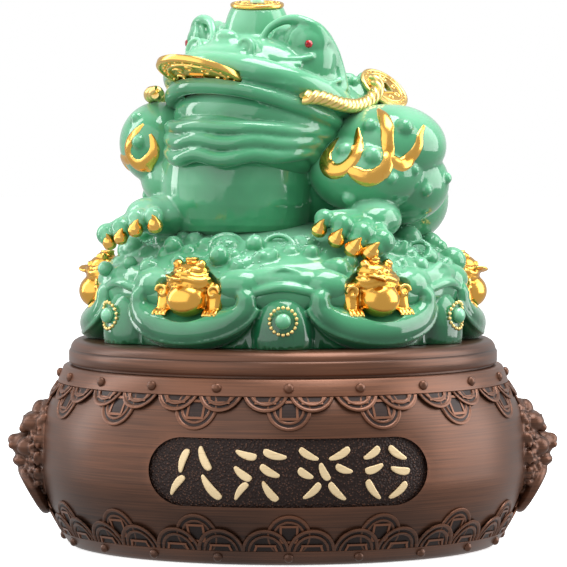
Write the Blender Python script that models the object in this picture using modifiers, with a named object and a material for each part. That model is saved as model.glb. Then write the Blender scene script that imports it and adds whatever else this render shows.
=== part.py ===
"""A money toad in green resin on a lotus base, standing on the lid of a bronze-coloured treasure bowl.

Metres, +Z up, the front towards -Y. The origin is the centre of the bowl's underside.
"""

import math

import bmesh
import bpy
from mathutils import Matrix, Vector

MM = 0.001
GAP = 0.3 * MM

# Treasure bowl
BOWL_RADIUS = 151.3 * MM
WIDEST_Z = 50 * MM
BOWL_HEIGHT = 112 * MM
COLLAR_Z = 101.5 * MM
FOOT_Z = 9.5 * MM
SHOULDER_DROP = 12.5 * MM
SHOULDER_POWER = 3.2
KEEL_DROP = 13.8 * MM
KEEL_POWER = 1.8
COLLAR_TOP_RADIUS = 137 * MM
FOOT_RADIUS = 130 * MM
FOOT_ROUND = (5 * MM, 3 * MM)
BAND_STEP = 0.8 * MM
WALL = 7 * MM
FLOOR = 8 * MM
HOLLOW_LEVELS = (BOWL_HEIGHT, COLLAR_Z, 88 * MM, WIDEST_Z, 28 * MM)
BELLY_ROWS = 2
COLUMNS = 96
HOLLOW_SIDES = 40

# Coin lace round the shoulder and above the foot
LACE_RISE = 1.2 * MM
LACE_EDGE = 0.4 * MM
BIG_COINS = 16
HALF_COINS = 32
COIN_RADIUS = 13.4 * MM
HALF_COIN_RADIUS = 15 * MM
UPPER_HALF_COIN_TIP = 93.2 * MM
UPPER_BIG_COIN_TIP = 82.3 * MM
LOWER_HALF_COIN_TIP = 22.8 * MM
LOWER_BIG_COIN_TIP = 31.6 * MM
UPPER_LEAN = 0.92
LOWER_LEAN = 0.87

# Recessed name panel on the front
PANEL_HALF_LENGTH = 83.8 * MM
PANEL_HALF_HEIGHT = 20.7 * MM
PANEL_Z = 57 * MM
PANEL_DEPTH = 2 * MM

# Lid
LID_RADIUS = 133.8 * MM
LID_BOTTOM = 113.6 * MM
LID_TOP = 128.5 * MM
LID_SEAT_RADIUS = 131.5 * MM
LID_SPIGOT_RADIUS = 127.5 * MM
LID_SPIGOT_DEPTH = 6 * MM
LID_ROUND = 5.5 * MM
LID_SIDES = 52

# Lotus base of the figure
LOTUS_BOTTOM = LID_TOP + GAP
PETALS = 6
PETAL_STEP = math.tau / PETALS
DRUM_RADIUS = 113 * MM
DRUM_TOP = 168 * MM
HEAP_RADIUS = 116 * MM
HEAP_EDGE = 160 * MM
HEAP_TOP = 203 * MM
HEAP_BEADS = 36
PETAL_HALF_WIDTH = 38 * MM
PETAL_DROP = 25 * MM
PETAL_TOP_Z = 164 * MM
PETAL_RADIUS = 115 * MM
COLUMN_RADIUS = 124 * MM
TOAD_SEAT = 104.5 * MM
TOAD_SEAT_SIZE = (56 * MM, 40 * MM, 42 * MM)
TOAD_SEAT_ROUND = 9 * MM
TOAD_FEET_Z = 147 * MM
MEDALLION_Z = 146 * MM
# The figure was set down turned a little to its right
FIGURE_TURN = Matrix.Rotation(math.radians(-1.4), 4, "Z")

# Head frame: the mouth plane, turned to the figure's right and tipped back
MOUTH_CENTRE = Vector((-16 * MM, -22 * MM, 273.7 * MM))
HEAD_TURN = math.radians(-38)
HEAD_TIP = math.radians(-18.6)
HEAD = (
    Matrix.Translation(MOUTH_CENTRE)
    @ Matrix.Rotation(HEAD_TURN, 4, "Z")
    @ Matrix.Rotation(HEAD_TIP, 4, "X")
)
LIP_RADIUS = 52.5 * MM
MOUTH_COIN_RADIUS = 29 * MM
MOUTH_COIN_THICKNESS = 5 * MM
MOUTH_COIN_HOLE = 9 * MM
MOUTH_COIN_REACH = 53 * MM
# The coin is held a little off the middle of the mouth, with its left end low and its front up
MOUTH_COIN_ASIDE = -3.8 * MM
MOUTH_COIN_ROLL = math.radians(3.5)
MOUTH_COIN_TIP = math.radians(-3)
CROWN_TOP = 334.5 * MM
CROWN_COIN_RADIUS = 16.6 * MM
CROWN_COIN_THICKNESS = 3 * MM
CROWN_PEARL_RADIUS = 4.5 * MM
CROWN_TILT = math.radians(6)
# Points of a brow in the head frame: across, back and height, and the radius there, in millimetres
BROW = (
    (19, -33, 30, 2.4),
    (21, -32, 38, 3),
    (26, -30, 44, 3.6),
    (34, -27, 47.5, 4),
    (42, -23, 47, 4.4),
    (47, -17, 44.5, 4.4),
    (49, -10, 41, 4.6),
    (48.5, -2, 37, 5.2),
    (47, 6, 31, 6.2),
    (47, 11, 23, 7.4),
    (49, 13, 14, 8),
)
ROPE_RADIUS = 4.4 * MM
# Points of each rope in the head frame: reach in millimetres, degrees from the snout, height in millimetres
ROPES = {
    "left": (
        (60, 66, -2),
        (61.5, 76, 1),
        (62.5, 92, 2.5),
        (63, 109, 7),
        (67, 121, 14),
        (71, 127, 24),
        (68, 132, 33),
    ),
    "right": ((62, -50, -5), (66, -58, -4), (69, -68, -2.5), (70, -78, -1), (70, -87, 1)),
}
# Centre in millimetres, and the direction that the face points in
BACK_COINS = {
    "left": ((63, -4, 284), (0.53, -0.45, 0.72)),
    "right": ((-72, 44, 271), (-0.6, 0.3, 0.74)),
}
BACK_COIN_RADIUS = 17 * MM
BACK_COIN_THICKNESS = 3 * MM
BACK_COIN_HOLE = 7 * MM
EYE = Vector((39 * MM, -12.5 * MM, 37.3 * MM))
EYE_RADIUS = 13.5 * MM
EYE_ASPECT = math.radians(42)
EYE_STONE_RADIUS = 2.5 * MM
EYE_STONE_THICKNESS = 2 * MM
EYE_STONE_DIP = -0.08
SEAT_CLEARANCE = 10 * MM

MASK_Z = 64 * MM
SHARP_EDGE = math.radians(40)

FIGURE_VOXEL = 1.8 * MM
FIGURE_FACES = 2350
SMALL_TOAD_FACES = 170
MASK_FACES = 230


def clear_scene():
    for old in list(bpy.data.objects):
        bpy.data.objects.remove(old, do_unlink=True)


def material(name, colour, roughness, metallic=0.0):
    made = bpy.data.materials.new(name)
    made.use_nodes = True
    shader = made.node_tree.nodes["Principled BSDF"]
    shader.inputs["Base Color"].default_value = (*colour, 1)
    shader.inputs["Roughness"].default_value = roughness
    shader.inputs["Metallic"].default_value = metallic
    made.diffuse_color = (*colour, 1)
    return made


def add_object(name, mesh, collection):
    made = bpy.data.objects.new(name, mesh)
    collection.objects.link(made)
    return made


def mesh_of(form, name):
    """A bmesh turned into a mesh, with its faces facing out."""
    bmesh.ops.recalc_face_normals(form, faces=form.faces)
    mesh = bpy.data.meshes.new(name)
    form.to_mesh(mesh)
    form.free()
    return mesh


def evaluated_mesh(obj):
    """The object's mesh with its modifiers applied."""
    bpy.context.view_layer.update()
    graph = bpy.context.evaluated_depsgraph_get()
    return bpy.data.meshes.new_from_object(obj.evaluated_get(graph))


def ellipsoid(form, centre, radii, turn=0.0, frame=None, segments=24, rings=14):
    """Adds an ellipsoid to the form, turned about Z and placed in a frame."""
    place = (
        (frame or Matrix())
        @ Matrix.Translation(Vector(centre) * MM)
        @ Matrix.Rotation(turn, 4, "Z")
        @ Matrix.Diagonal((*[radius * MM for radius in radii], 1))
    )
    bmesh.ops.create_uvsphere(form, u_segments=segments, v_segments=rings, radius=1, matrix=place)


def mirrored_ellipsoids(form, centre, radii, turn=0.0, frame=None, **detail):
    """The same ellipsoid on the left and on the right of a frame."""
    for side in (1, -1):
        ellipsoid(form, (side * centre[0], centre[1], centre[2]), radii, side * turn, frame, **detail)


def tube(form, path, radii, sides=10, frame=None):
    """Adds a round tube through the path, with a radius at each point and closed ends."""
    points = [Vector(point) * MM for point in path]
    rings = []
    for index, point in enumerate(points):
        ahead = points[min(index + 1, len(points) - 1)]
        behind = points[max(index - 1, 0)]
        turn = (ahead - behind).to_track_quat("Z", "Y").to_matrix().to_4x4()
        place = (frame or Matrix()) @ Matrix.Translation(point) @ turn
        ring = bmesh.ops.create_circle(form, segments=sides, radius=radii[index] * MM, matrix=place)
        rings.append(ring["verts"])
    for first, second in zip(rings, rings[1:]):
        for side in range(sides):
            after = (side + 1) % sides
            form.faces.new((first[side], first[after], second[after], second[side]))
    form.faces.new(rings[0])
    form.faces.new(rings[-1])


def round_the_axis(radius, angle, height):
    """A point at this angle from the front, in millimetres."""
    return (radius / MM * math.sin(angle), -radius / MM * math.cos(angle), height / MM)


def facing(angle, distance, height):
    """A frame on the outside at this angle from the front: X along the wall, -Y outwards."""
    return (
        Matrix.Rotation(angle, 4, "Z")
        @ Matrix.Translation(Vector((0, -distance, height)))
    )


def fused(name, form, voxel, faces, collection, smoothing=2):
    """One closed body from overlapping forms: they are fused, softened and reduced."""
    rough = add_object(name + "_form", mesh_of(form, name), collection)
    remesh = rough.modifiers.new("Fuse", "REMESH")
    remesh.mode = "VOXEL"
    remesh.voxel_size = voxel
    soften = rough.modifiers.new("Soften", "SMOOTH")
    soften.factor = 0.5
    soften.iterations = smoothing
    dense = evaluated_mesh(rough)
    bpy.data.objects.remove(rough)
    made = add_object(name, dense, collection)
    thin = made.modifiers.new("Reduce", "DECIMATE")
    thin.ratio = faces / (2 * len(dense.polygons))
    reduced = evaluated_mesh(made)
    made.modifiers.clear()
    made.data = reduced
    reduced.name = name
    return made


def cut(obj, cutter):
    """Takes the cutter's form out of an object, and hides the cutter from the render."""
    cutter.hide_render = True
    cutter.display_type = "WIRE"
    change = obj.modifiers.new("Cut", "BOOLEAN")
    change.operation = "DIFFERENCE"
    change.object = cutter
    result = evaluated_mesh(obj)
    obj.modifiers.clear()
    obj.data = result


def turned(name, profile, collection, steps=COLUMNS):
    """A solid turned round Z from a profile that runs down its outer side."""
    form = bmesh.new()
    corners = [form.verts.new((radius, 0, height)) for radius, height in profile]
    for first, second in zip(corners, corners[1:]):
        form.edges.new((first, second))
    mesh = bpy.data.meshes.new(name)
    form.to_mesh(mesh)
    form.free()
    made = add_object(name, mesh, collection)
    screw = made.modifiers.new("Turn", "SCREW")
    screw.steps = steps
    screw.render_steps = steps
    screw.use_merge_vertices = True
    screw.merge_threshold = 0.00001
    made.data = evaluated_mesh(made)
    made.modifiers.clear()
    return made


def bowl_radius(height):
    """The bowl's smooth outer radius between its foot band and its collar."""
    if height >= WIDEST_Z:
        share = (height - WIDEST_Z) / (COLLAR_Z - WIDEST_Z)
        return BOWL_RADIUS - SHOULDER_DROP * share**SHOULDER_POWER
    share = (WIDEST_Z - height) / (WIDEST_Z - FOOT_Z)
    return BOWL_RADIUS - KEEL_DROP * share**KEEL_POWER


def scallop(angle, count, offset, radius, tip, lean, wall_radius):
    """The height that a row of coins reaches to at this angle, or None between its coins."""
    step = math.tau / count
    from_centre = (angle - offset * step + step / 2) % step - step / 2
    across = from_centre * wall_radius
    if abs(across) >= radius:
        return None
    shortfall = lean * (radius - math.sqrt(radius**2 - across**2))
    return tip + math.copysign(shortfall, tip - PANEL_Z)


def lace_edge(angle, half_tip, big_tip, lean):
    """The height of the lace's free edge: the coin that reaches furthest towards the widest line."""
    wall_radius = bowl_radius(half_tip)
    rows = (
        scallop(angle, HALF_COINS, 0.5, HALF_COIN_RADIUS, half_tip, lean, wall_radius),
        scallop(angle, BIG_COINS, 0, COIN_RADIUS, big_tip, lean, wall_radius),
    )
    reached = [row for row in rows if row is not None]
    edge = min(reached, key=lambda height: abs(height - PANEL_Z))
    return max(FOOT_Z + BAND_STEP + LACE_EDGE, min(edge, COLLAR_Z - BAND_STEP - LACE_EDGE))


def bowl_column(angle):
    """The bowl's outline at one angle, from the edge of its underside to its rim."""
    low = lace_edge(angle, LOWER_HALF_COIN_TIP, LOWER_BIG_COIN_TIP, LOWER_LEAN)
    high = lace_edge(angle, UPPER_HALF_COIN_TIP, UPPER_BIG_COIN_TIP, UPPER_LEAN)
    outline = [
        (FOOT_RADIUS, 0),
        (FOOT_RADIUS + FOOT_ROUND[0], FOOT_ROUND[1]),
        (bowl_radius(FOOT_Z) + LACE_RISE + BAND_STEP, FOOT_Z),
        (bowl_radius(low) + LACE_RISE, low - LACE_EDGE),
        (bowl_radius(low), low + LACE_EDGE),
    ]
    for row in range(1, BELLY_ROWS):
        height = low + (high - low) * row / BELLY_ROWS
        outline.append((bowl_radius(height), height))
    outline += [
        (bowl_radius(high), high - LACE_EDGE),
        (bowl_radius(high) + LACE_RISE, high + LACE_EDGE),
        (bowl_radius(COLLAR_Z) + LACE_RISE + BAND_STEP, COLLAR_Z),
        (COLLAR_TOP_RADIUS, BOWL_HEIGHT),
    ]
    return outline


def treasure_bowl(collection, tools, finish):
    """The open bowl: a foot band, scalloped coin lace, a smooth belly, a collar and a sunk name panel."""
    form = bmesh.new()
    columns = []
    for index in range(COLUMNS):
        angle = math.tau * index / COLUMNS
        columns.append(
            [
                form.verts.new((radius * math.sin(angle), -radius * math.cos(angle), height))
                for radius, height in bowl_column(angle)
            ]
        )
    for index, column in enumerate(columns):
        after = columns[(index + 1) % COLUMNS]
        for row in range(len(column) - 1):
            form.faces.new((column[row], after[row], after[row + 1], column[row + 1]))
    form.faces.new([column[0] for column in columns])
    form.faces.new([column[-1] for column in columns])
    bowl = add_object("treasure_bowl", mesh_of(form, "treasure_bowl"), collection)

    inside = [(0, BOWL_HEIGHT + WALL), (COLLAR_TOP_RADIUS - WALL, BOWL_HEIGHT + WALL)]
    for height in HOLLOW_LEVELS:
        outer = COLLAR_TOP_RADIUS if height > COLLAR_Z else bowl_radius(height)
        inside.append((outer - WALL, height))
    inside += [(bowl_radius(FOOT_Z) - 2 * WALL, FLOOR), (0, FLOOR)]
    hollow = turned("bowl_hollow", inside, tools, steps=HOLLOW_SIDES)
    cut(bowl, hollow)
    cut(bowl, name_panel(tools))
    bowl.data.materials.append(finish)


def name_panel(tools):
    """The cutter for the name panel: a prism with round ends and a floor parallel to the belly."""
    form = bmesh.new()
    outline = []
    arc_steps = 8
    for side in (1, -1):
        for step in range(arc_steps + 1):
            angle = math.pi * step / arc_steps - math.pi / 2
            across = side * (PANEL_HALF_LENGTH - PANEL_HALF_HEIGHT + PANEL_HALF_HEIGHT * math.cos(angle))
            outline.append((across, PANEL_Z + side * PANEL_HALF_HEIGHT * math.sin(angle)))
    face = form.faces.new([form.verts.new((x, -BOWL_RADIUS - 10 * MM, z)) for x, z in outline])
    grown = bmesh.ops.extrude_face_region(form, geom=[face])
    moved = [item for item in grown["geom"] if isinstance(item, bmesh.types.BMVert)]
    bmesh.ops.translate(form, verts=moved, vec=(0, BOWL_RADIUS * 0.5, 0))
    prism = add_object("panel_prism", mesh_of(form, "panel_prism"), tools)
    rows = 6
    low, high = PANEL_Z - 1.3 * PANEL_HALF_HEIGHT, PANEL_Z + 1.3 * PANEL_HALF_HEIGHT
    heights = [high + (low - high) * row / rows for row in range(rows + 1)]
    floor = [(0, high)] + [(bowl_radius(z) - PANEL_DEPTH, z) for z in heights] + [(0, low)]
    cut(prism, turned("panel_floor", floor, tools))
    return prism


def bowl_lid(collection, finish):
    """The lid: a spigot in the bowl's mouth, a seat on its rim, a shadow line, and a rounded top edge."""
    profile = [(0, LID_TOP), (LID_RADIUS - LID_ROUND, LID_TOP)]
    for step in range(1, 3):
        angle = math.pi / 2 * step / 2
        profile.append(
            (
                LID_RADIUS - LID_ROUND * (1 - math.sin(angle)),
                LID_TOP - LID_ROUND * (1 - math.cos(angle)),
            )
        )
    rim_top = BOWL_HEIGHT + GAP
    profile += [
        (LID_RADIUS, LID_BOTTOM + 0.8 * MM),
        (LID_RADIUS - 0.8 * MM, LID_BOTTOM),
        (LID_SEAT_RADIUS, LID_BOTTOM),
        (LID_SEAT_RADIUS, rim_top),
        (LID_SPIGOT_RADIUS, rim_top),
        (LID_SPIGOT_RADIUS, BOWL_HEIGHT - LID_SPIGOT_DEPTH),
        (0, BOWL_HEIGHT - LID_SPIGOT_DEPTH),
    ]
    lid = turned("bowl_lid", profile, collection, steps=LID_SIDES)
    lid.data.materials.append(finish)


def lotus_forms(form):
    """The lotus base: a drum with a heap on it, six cupped petals, and a flat column between each two."""
    drum_height = (DRUM_TOP - LOTUS_BOTTOM) / MM + 20
    place = Matrix.Translation((0, 0, DRUM_TOP - drum_height * MM / 2))
    bmesh.ops.create_cone(
        form,
        cap_ends=True,
        segments=48,
        radius1=DRUM_RADIUS,
        radius2=DRUM_RADIUS,
        depth=drum_height * MM,
        matrix=place,
    )
    across = HEAP_RADIUS / MM
    rise = (HEAP_TOP - HEAP_EDGE) / MM
    ellipsoid(form, (0, 0, HEAP_EDGE / MM), (across, across, rise), segments=48, rings=24)
    for number in range(PETALS):
        petal(form, (number + 0.5) * PETAL_STEP)
        lotus_column(form, number * PETAL_STEP)


def petal(form, angle):
    """A cupped petal: a rim that hangs like a U, thick below where the small toad stands on it."""
    path, radii = [], []
    steps = 12
    for step in range(steps + 1):
        swing = math.radians(-115 + 230 * step / steps)
        across = PETAL_HALF_WIDTH * math.sin(swing)
        height = PETAL_TOP_Z - PETAL_DROP * math.cos(swing)
        path.append(round_the_axis(PETAL_RADIUS, angle + across / PETAL_RADIUS, height))
        radii.append(5.5 + 6.5 * max(0, math.cos(swing)) ** 1.3)
    tube(form, path, radii)


def lotus_column(form, angle):
    """The column between two petals with its pearl, and the wave-shaped hem of the upper leaf over it."""
    frame = facing(angle, COLUMN_RADIUS, 0)
    ellipsoid(form, (0, 15, 136), (19, 15, 26), frame=frame)
    ellipsoid(form, (0, 0.5, MEDALLION_Z / MM), (5.2, 4.2, 5.2), frame=frame, segments=12, rings=8)
    ellipsoid(form, (0, 20, 170), (26, 15, 9), frame=frame)
    hem = ((0, 11, 170), (12, 12, 168), (25, 15, 162), (38, 19, 158))
    for side in (1, -1):
        tube(form, [(side * x, y, z) for x, y, z in hem], [6, 5.5, 4.5, 3.5], frame=frame)


def heap_forms(form):
    """Beads half sunk in the heap of coins under the toad, in a spiral round it."""
    golden_angle = math.pi * (3 - math.sqrt(5))
    for number in range(HEAP_BEADS):
        angle = number * golden_angle
        share = math.sqrt(0.3 + 0.6 * (number + 0.5) / HEAP_BEADS)
        height = HEAP_EDGE + (HEAP_TOP - HEAP_EDGE) * math.sqrt(1 - share**2)
        size = 7 + number % 3
        ellipsoid(form, round_the_axis(HEAP_RADIUS * share, angle, height), (size,) * 3, segments=12, rings=8)


def head_forms(form):
    """The head: round lips, a snout, curled nostrils, a bulb that carries the crown, raised eyes."""
    steps = 36
    turns = [math.tau * step / steps for step in range(steps + 1)]
    for height, size in ((8, 8.5), (-5, 5)):
        lips = [
            (LIP_RADIUS / MM * math.sin(turn), -LIP_RADIUS / MM * math.cos(turn), height + math.cos(2 * turn))
            for turn in turns
        ]
        tube(form, lips, [size] * len(lips), frame=HEAD)
    # Each fold of the throat hangs lower under the snout than at the cheeks
    for radius, drop, hang, size in ((52, 17, 13, 4.5), (50, 24, 16, 4.5), (48, 28, 19, 4.5)):
        throat = [
            (radius * math.sin(turn), -radius * math.cos(turn), -drop - hang * max(0, math.cos(turn)))
            for turn in turns
        ]
        tube(form, throat, [size] * len(throat), frame=HEAD)
    ellipsoid(form, (0, 4, 18), (53, 52, 24), frame=HEAD)
    ellipsoid(form, (0, 6, -14), (54, 53, 24), frame=HEAD)
    ellipsoid(form, (0, -26, 15), (36, 30, 14), frame=HEAD)
    ellipsoid(form, (0, -38, 22), (15, 12, 11), frame=HEAD)
    ellipsoid(form, (0, -42, 30), (9, 7, 5.4), frame=HEAD, segments=16, rings=10)
    mirrored_ellipsoids(form, (19, -41, 22.5), (8, 7, 7), frame=HEAD, segments=16, rings=10)
    mirrored_ellipsoids(form, (35, -5, 28), (19, 21, 24), frame=HEAD)
    mirrored_ellipsoids(form, EYE / MM, (EYE_RADIUS / MM,) * 3, frame=HEAD)
    for side in (1, -1):
        brow = [(side * across, back, height) for across, back, height, _ in BROW]
        tube(form, brow, [size for _, _, _, size in BROW], frame=HEAD)
    bulb = crown_coin_frame(0) @ Matrix.Translation((0, 0, -20 * MM))
    ellipsoid(form, (0, 0, 0), (21, 21, 31), frame=bulb)
    ellipsoid(form, (0, 0, -14), (26, 26, 16), frame=bulb)


def body_forms(form):
    """The body: a drum of a belly, a broad back with a hump, two arms, haunches and one hind leg."""
    belly = ((197, 41), (205, 45), (214, 47.6), (226, 48.4), (238, 47), (248, 43))
    tube(form, [(-28, -22, height) for height, _ in belly], [size for _, size in belly], sides=32)
    ellipsoid(form, (-28, -22, 203), (44, 44, 13))
    ellipsoid(form, (4, 22, 230), (78, 64, 44))
    ellipsoid(form, (26, 14, 258), (47, 50, 35))
    ellipsoid(form, (-40, 12, 252), (44, 46, 32))
    ellipsoid(form, (47, 0, 273), (17, 18, 18))
    ellipsoid(form, (-64, 26, 255), (20, 26, 17))
    # The figure's left arm, nearest to the viewer, and the haunch behind it
    ellipsoid(form, (65, -30, 249), (36, 36, 26))
    ellipsoid(form, (52, -40, 233), (36, 34, 26))
    ellipsoid(form, (71, -24, 226), (32, 32, 26))
    ellipsoid(form, (74, 18, 214), (30, 40, 28))
    ellipsoid(form, (55, -58, 205), (18, 22, 13))
    # Its right arm, half hidden by the belly
    ellipsoid(form, (-77, -2, 250), (25, 31, 26))
    ellipsoid(form, (-64, -4, 230), (25, 32, 24))
    ellipsoid(form, (-74, -32, 206), (20, 24, 13))
    hand(form, ((25, -82, 206), (36, -87, 202), (48, -89, 197), (60, -88, 192)), (54, -66, 204), (-0.6, -0.8))
    knuckles = ((-79, -66, 207), (-89, -61, 205), (-99, -54, 199), (-108, -45, 195))
    hand(form, knuckles, (-82, -44, 207), (-0.2, -1))
    # The haunch on the far side and the single hind leg in the middle of the back
    ellipsoid(form, (-56, 28, 212), (26, 38, 26))
    ellipsoid(form, (6, 84, 210), (26, 22, 20))
    hand(form, ((-18, 106, 190), (-2, 110, 188), (14, 110, 188), (30, 106, 190)), (6, 90, 200), (0, 1))


def hand(form, knuckles, palm, ahead):
    """Plump toes round a palm, each with a short claw that points ahead and down."""
    ellipsoid(form, palm, (15, 15, 11))
    for knuckle in knuckles:
        claw = Vector(knuckle) + Vector((*ahead, 0)) * 6 + Vector((0, 0, -6.5))
        tube(form, (palm, (Vector(palm) + Vector(knuckle)) / 2, knuckle), (9, 8.5, 8), sides=8)
        ellipsoid(form, knuckle, (8.5, 8.5, 8), segments=14, rings=8)
        ellipsoid(form, claw, (4.8, 4.8, 5.2), segments=10, rings=6)


def box_cutter(name, frame, size, tools, corner=0):
    """A box in a frame, with the four edges along the frame's Y rounded where a corner radius is given."""
    form = bmesh.new()
    bmesh.ops.create_cube(form, size=1, matrix=Matrix.Diagonal((*size, 1)))
    if corner:
        along = [edge for edge in form.edges if abs(edge.verts[0].co.y - edge.verts[1].co.y) > size[1] / 2]
        bmesh.ops.bevel(form, geom=along, offset=corner, segments=4, profile=0.5, affect="EDGES")
    bmesh.ops.transform(form, matrix=frame, verts=form.verts)
    return add_object(name, mesh_of(form, name), tools)


def disc(name, frame, radius, depth, collection, sides=32):
    """A flat round piece whose axis is the frame's Z, with its middle at the frame's origin."""
    form = bmesh.new()
    bmesh.ops.create_cone(
        form, cap_ends=True, segments=sides, radius1=radius, radius2=radius, depth=depth, matrix=frame
    )
    return add_object(name, mesh_of(form, name), collection)


def coin(name, frame, radius, depth, hole, collection, tools, sides=32):
    """A coin with a square hole."""
    made = disc(name, frame, radius, depth, collection, sides)
    cut(made, box_cutter(name + "_hole", frame, (hole, hole, 3 * depth), tools))
    return made


def mouth_coin_frame():
    place = HEAD @ Matrix.Translation((MOUTH_COIN_ASIDE, -MOUTH_COIN_REACH, MOUTH_COIN_THICKNESS / 2))
    lean = Matrix.Rotation(MOUTH_COIN_ROLL, 4, "Y") @ Matrix.Rotation(MOUTH_COIN_TIP, 4, "X")
    return Matrix.Translation(place.translation) @ lean @ place.to_3x3().to_4x4()


def crown_coin_frame(lift):
    return (
        Matrix.Translation((MOUTH_CENTRE.x, MOUTH_CENTRE.y + 2 * MM, CROWN_TOP + lift))
        @ Matrix.Rotation(CROWN_TILT, 4, "X")
    )


def back_coin_frame(name):
    """Flat on the shoulder, with the frame's Z pointing away from it."""
    place, outwards = BACK_COINS[name]
    turn = Vector(outwards).to_track_quat("Z", "Y").to_matrix().to_4x4()
    return Matrix.Translation(Vector(place) * MM) @ turn


def rope(name, side, radius, collection):
    """The rope on one side, from the corner of the mouth round the cheek to the coin on the shoulder."""
    form = bmesh.new()
    path = []
    for reach, turn, height in ROPES[side]:
        turn = math.radians(turn)
        path.append((reach * math.sin(turn), -reach * math.cos(turn), height))
    tube(form, path, [radius / MM] * len(path), sides=8, frame=HEAD)
    return add_object(name, mesh_of(form, name), collection)


def eye_stone_frame(side):
    """On the eyeball, facing forwards and outwards."""
    centre = Vector((side * EYE.x, EYE.y, EYE.z))
    level = HEAD @ Matrix.Translation(centre)
    aspect = HEAD_TURN + side * EYE_ASPECT
    out = Vector((math.sin(aspect), -math.cos(aspect), EYE_STONE_DIP))
    turn = out.to_track_quat("Z", "Y").to_matrix().to_4x4()
    return Matrix.Translation(level.translation + out.normalized() * EYE_RADIUS) @ turn


def jade_figure(collection, tools, finish):
    """The toad, its heap of coins and the lotus base: one green casting."""
    form = bmesh.new()
    lotus_forms(form)
    heap_forms(form)
    head_forms(form)
    body_forms(form)
    figure = fused("jade_figure", form, FIGURE_VOXEL, FIGURE_FACES, collection)
    below = Matrix.Translation((0, 0, LOTUS_BOTTOM - 50 * MM))
    cut(figure, box_cutter("figure_base", below, (400 * MM, 400 * MM, 100 * MM), tools))
    for number in range(PETALS):
        angle = (number + 0.5) * PETAL_STEP
        seat = facing(angle, TOAD_SEAT + TOAD_SEAT_SIZE[1] / 2, TOAD_FEET_Z - GAP + TOAD_SEAT_SIZE[2] / 2)
        cut(figure, box_cutter(f"toad_seat_{number + 1}", seat, TOAD_SEAT_SIZE, tools, TOAD_SEAT_ROUND))
    slot_height = MOUTH_COIN_THICKNESS + 2 * GAP
    cut(figure, disc("mouth_slot", mouth_coin_frame(), MOUTH_COIN_RADIUS + GAP, slot_height, tools))
    crown_seat = crown_coin_frame(SEAT_CLEARANCE - GAP)
    cut(figure, disc("crown_seat", crown_seat, CROWN_COIN_RADIUS + 6 * MM, 2 * SEAT_CLEARANCE, tools))
    coin_depth = SEAT_CLEARANCE + BACK_COIN_THICKNESS / 2 + GAP
    stone_depth = SEAT_CLEARANCE + EYE_STONE_THICKNESS / 2 + GAP
    for name, side in (("left", 1), ("right", -1)):
        cut(figure, rope(f"rope_groove_{name}", name, ROPE_RADIUS + GAP, tools))
        seat = back_coin_frame(name) @ Matrix.Translation((0, 0, SEAT_CLEARANCE - coin_depth / 2))
        cut(figure, disc(f"back_coin_seat_{name}", seat, BACK_COIN_RADIUS + GAP, coin_depth, tools))
        seat = eye_stone_frame(side) @ Matrix.Translation((0, 0, SEAT_CLEARANCE - stone_depth / 2))
        cut(figure, disc(f"eye_seat_{name}", seat, EYE_STONE_RADIUS + GAP, stone_depth, tools, 12))
    figure.data.materials.append(finish)


def gold_fittings(collection, tools, gold, pale_gold, ruby, pearl):
    """The coins, the rope over the back, and the red stones of the eyes."""
    mouth = coin(
        "mouth_coin",
        mouth_coin_frame(),
        MOUTH_COIN_RADIUS,
        MOUTH_COIN_THICKNESS,
        MOUTH_COIN_HOLE,
        collection,
        tools,
    )
    crown_middle = crown_coin_frame(CROWN_COIN_THICKNESS / 2)
    crown = disc("crown_coin", crown_middle, CROWN_COIN_RADIUS, CROWN_COIN_THICKNESS, collection)
    for piece in (mouth, crown):
        piece.data.materials.append(gold)
    form = bmesh.new()
    place = crown_coin_frame(CROWN_COIN_THICKNESS + GAP)
    radius = CROWN_PEARL_RADIUS
    bmesh.ops.create_uvsphere(form, u_segments=12, v_segments=8, radius=radius, matrix=place)
    bead = add_object("crown_pearl", mesh_of(form, "crown_pearl"), collection)
    below = place @ Matrix.Translation((0, 0, -radius))
    cut(bead, box_cutter("crown_pearl_base", below, (3 * radius, 3 * radius, 2 * radius), tools))
    bead.data.materials.append(pearl)
    for name, side in (("left", 1), ("right", -1)):
        cord = rope(f"rope_{name}", name, ROPE_RADIUS, collection)
        cord.data.materials.append(pale_gold)
        back = coin(
            f"back_coin_{name}",
            back_coin_frame(name),
            BACK_COIN_RADIUS,
            BACK_COIN_THICKNESS,
            BACK_COIN_HOLE,
            collection,
            tools,
            sides=24,
        )
        cut(back, tools.objects[f"rope_groove_{name}"])
        back.data.materials.append(pale_gold)
        place = eye_stone_frame(side)
        stone = disc(f"eye_stone_{name}", place, EYE_STONE_RADIUS, EYE_STONE_THICKNESS, collection, 10)
        stone.data.materials.append(ruby)


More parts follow.
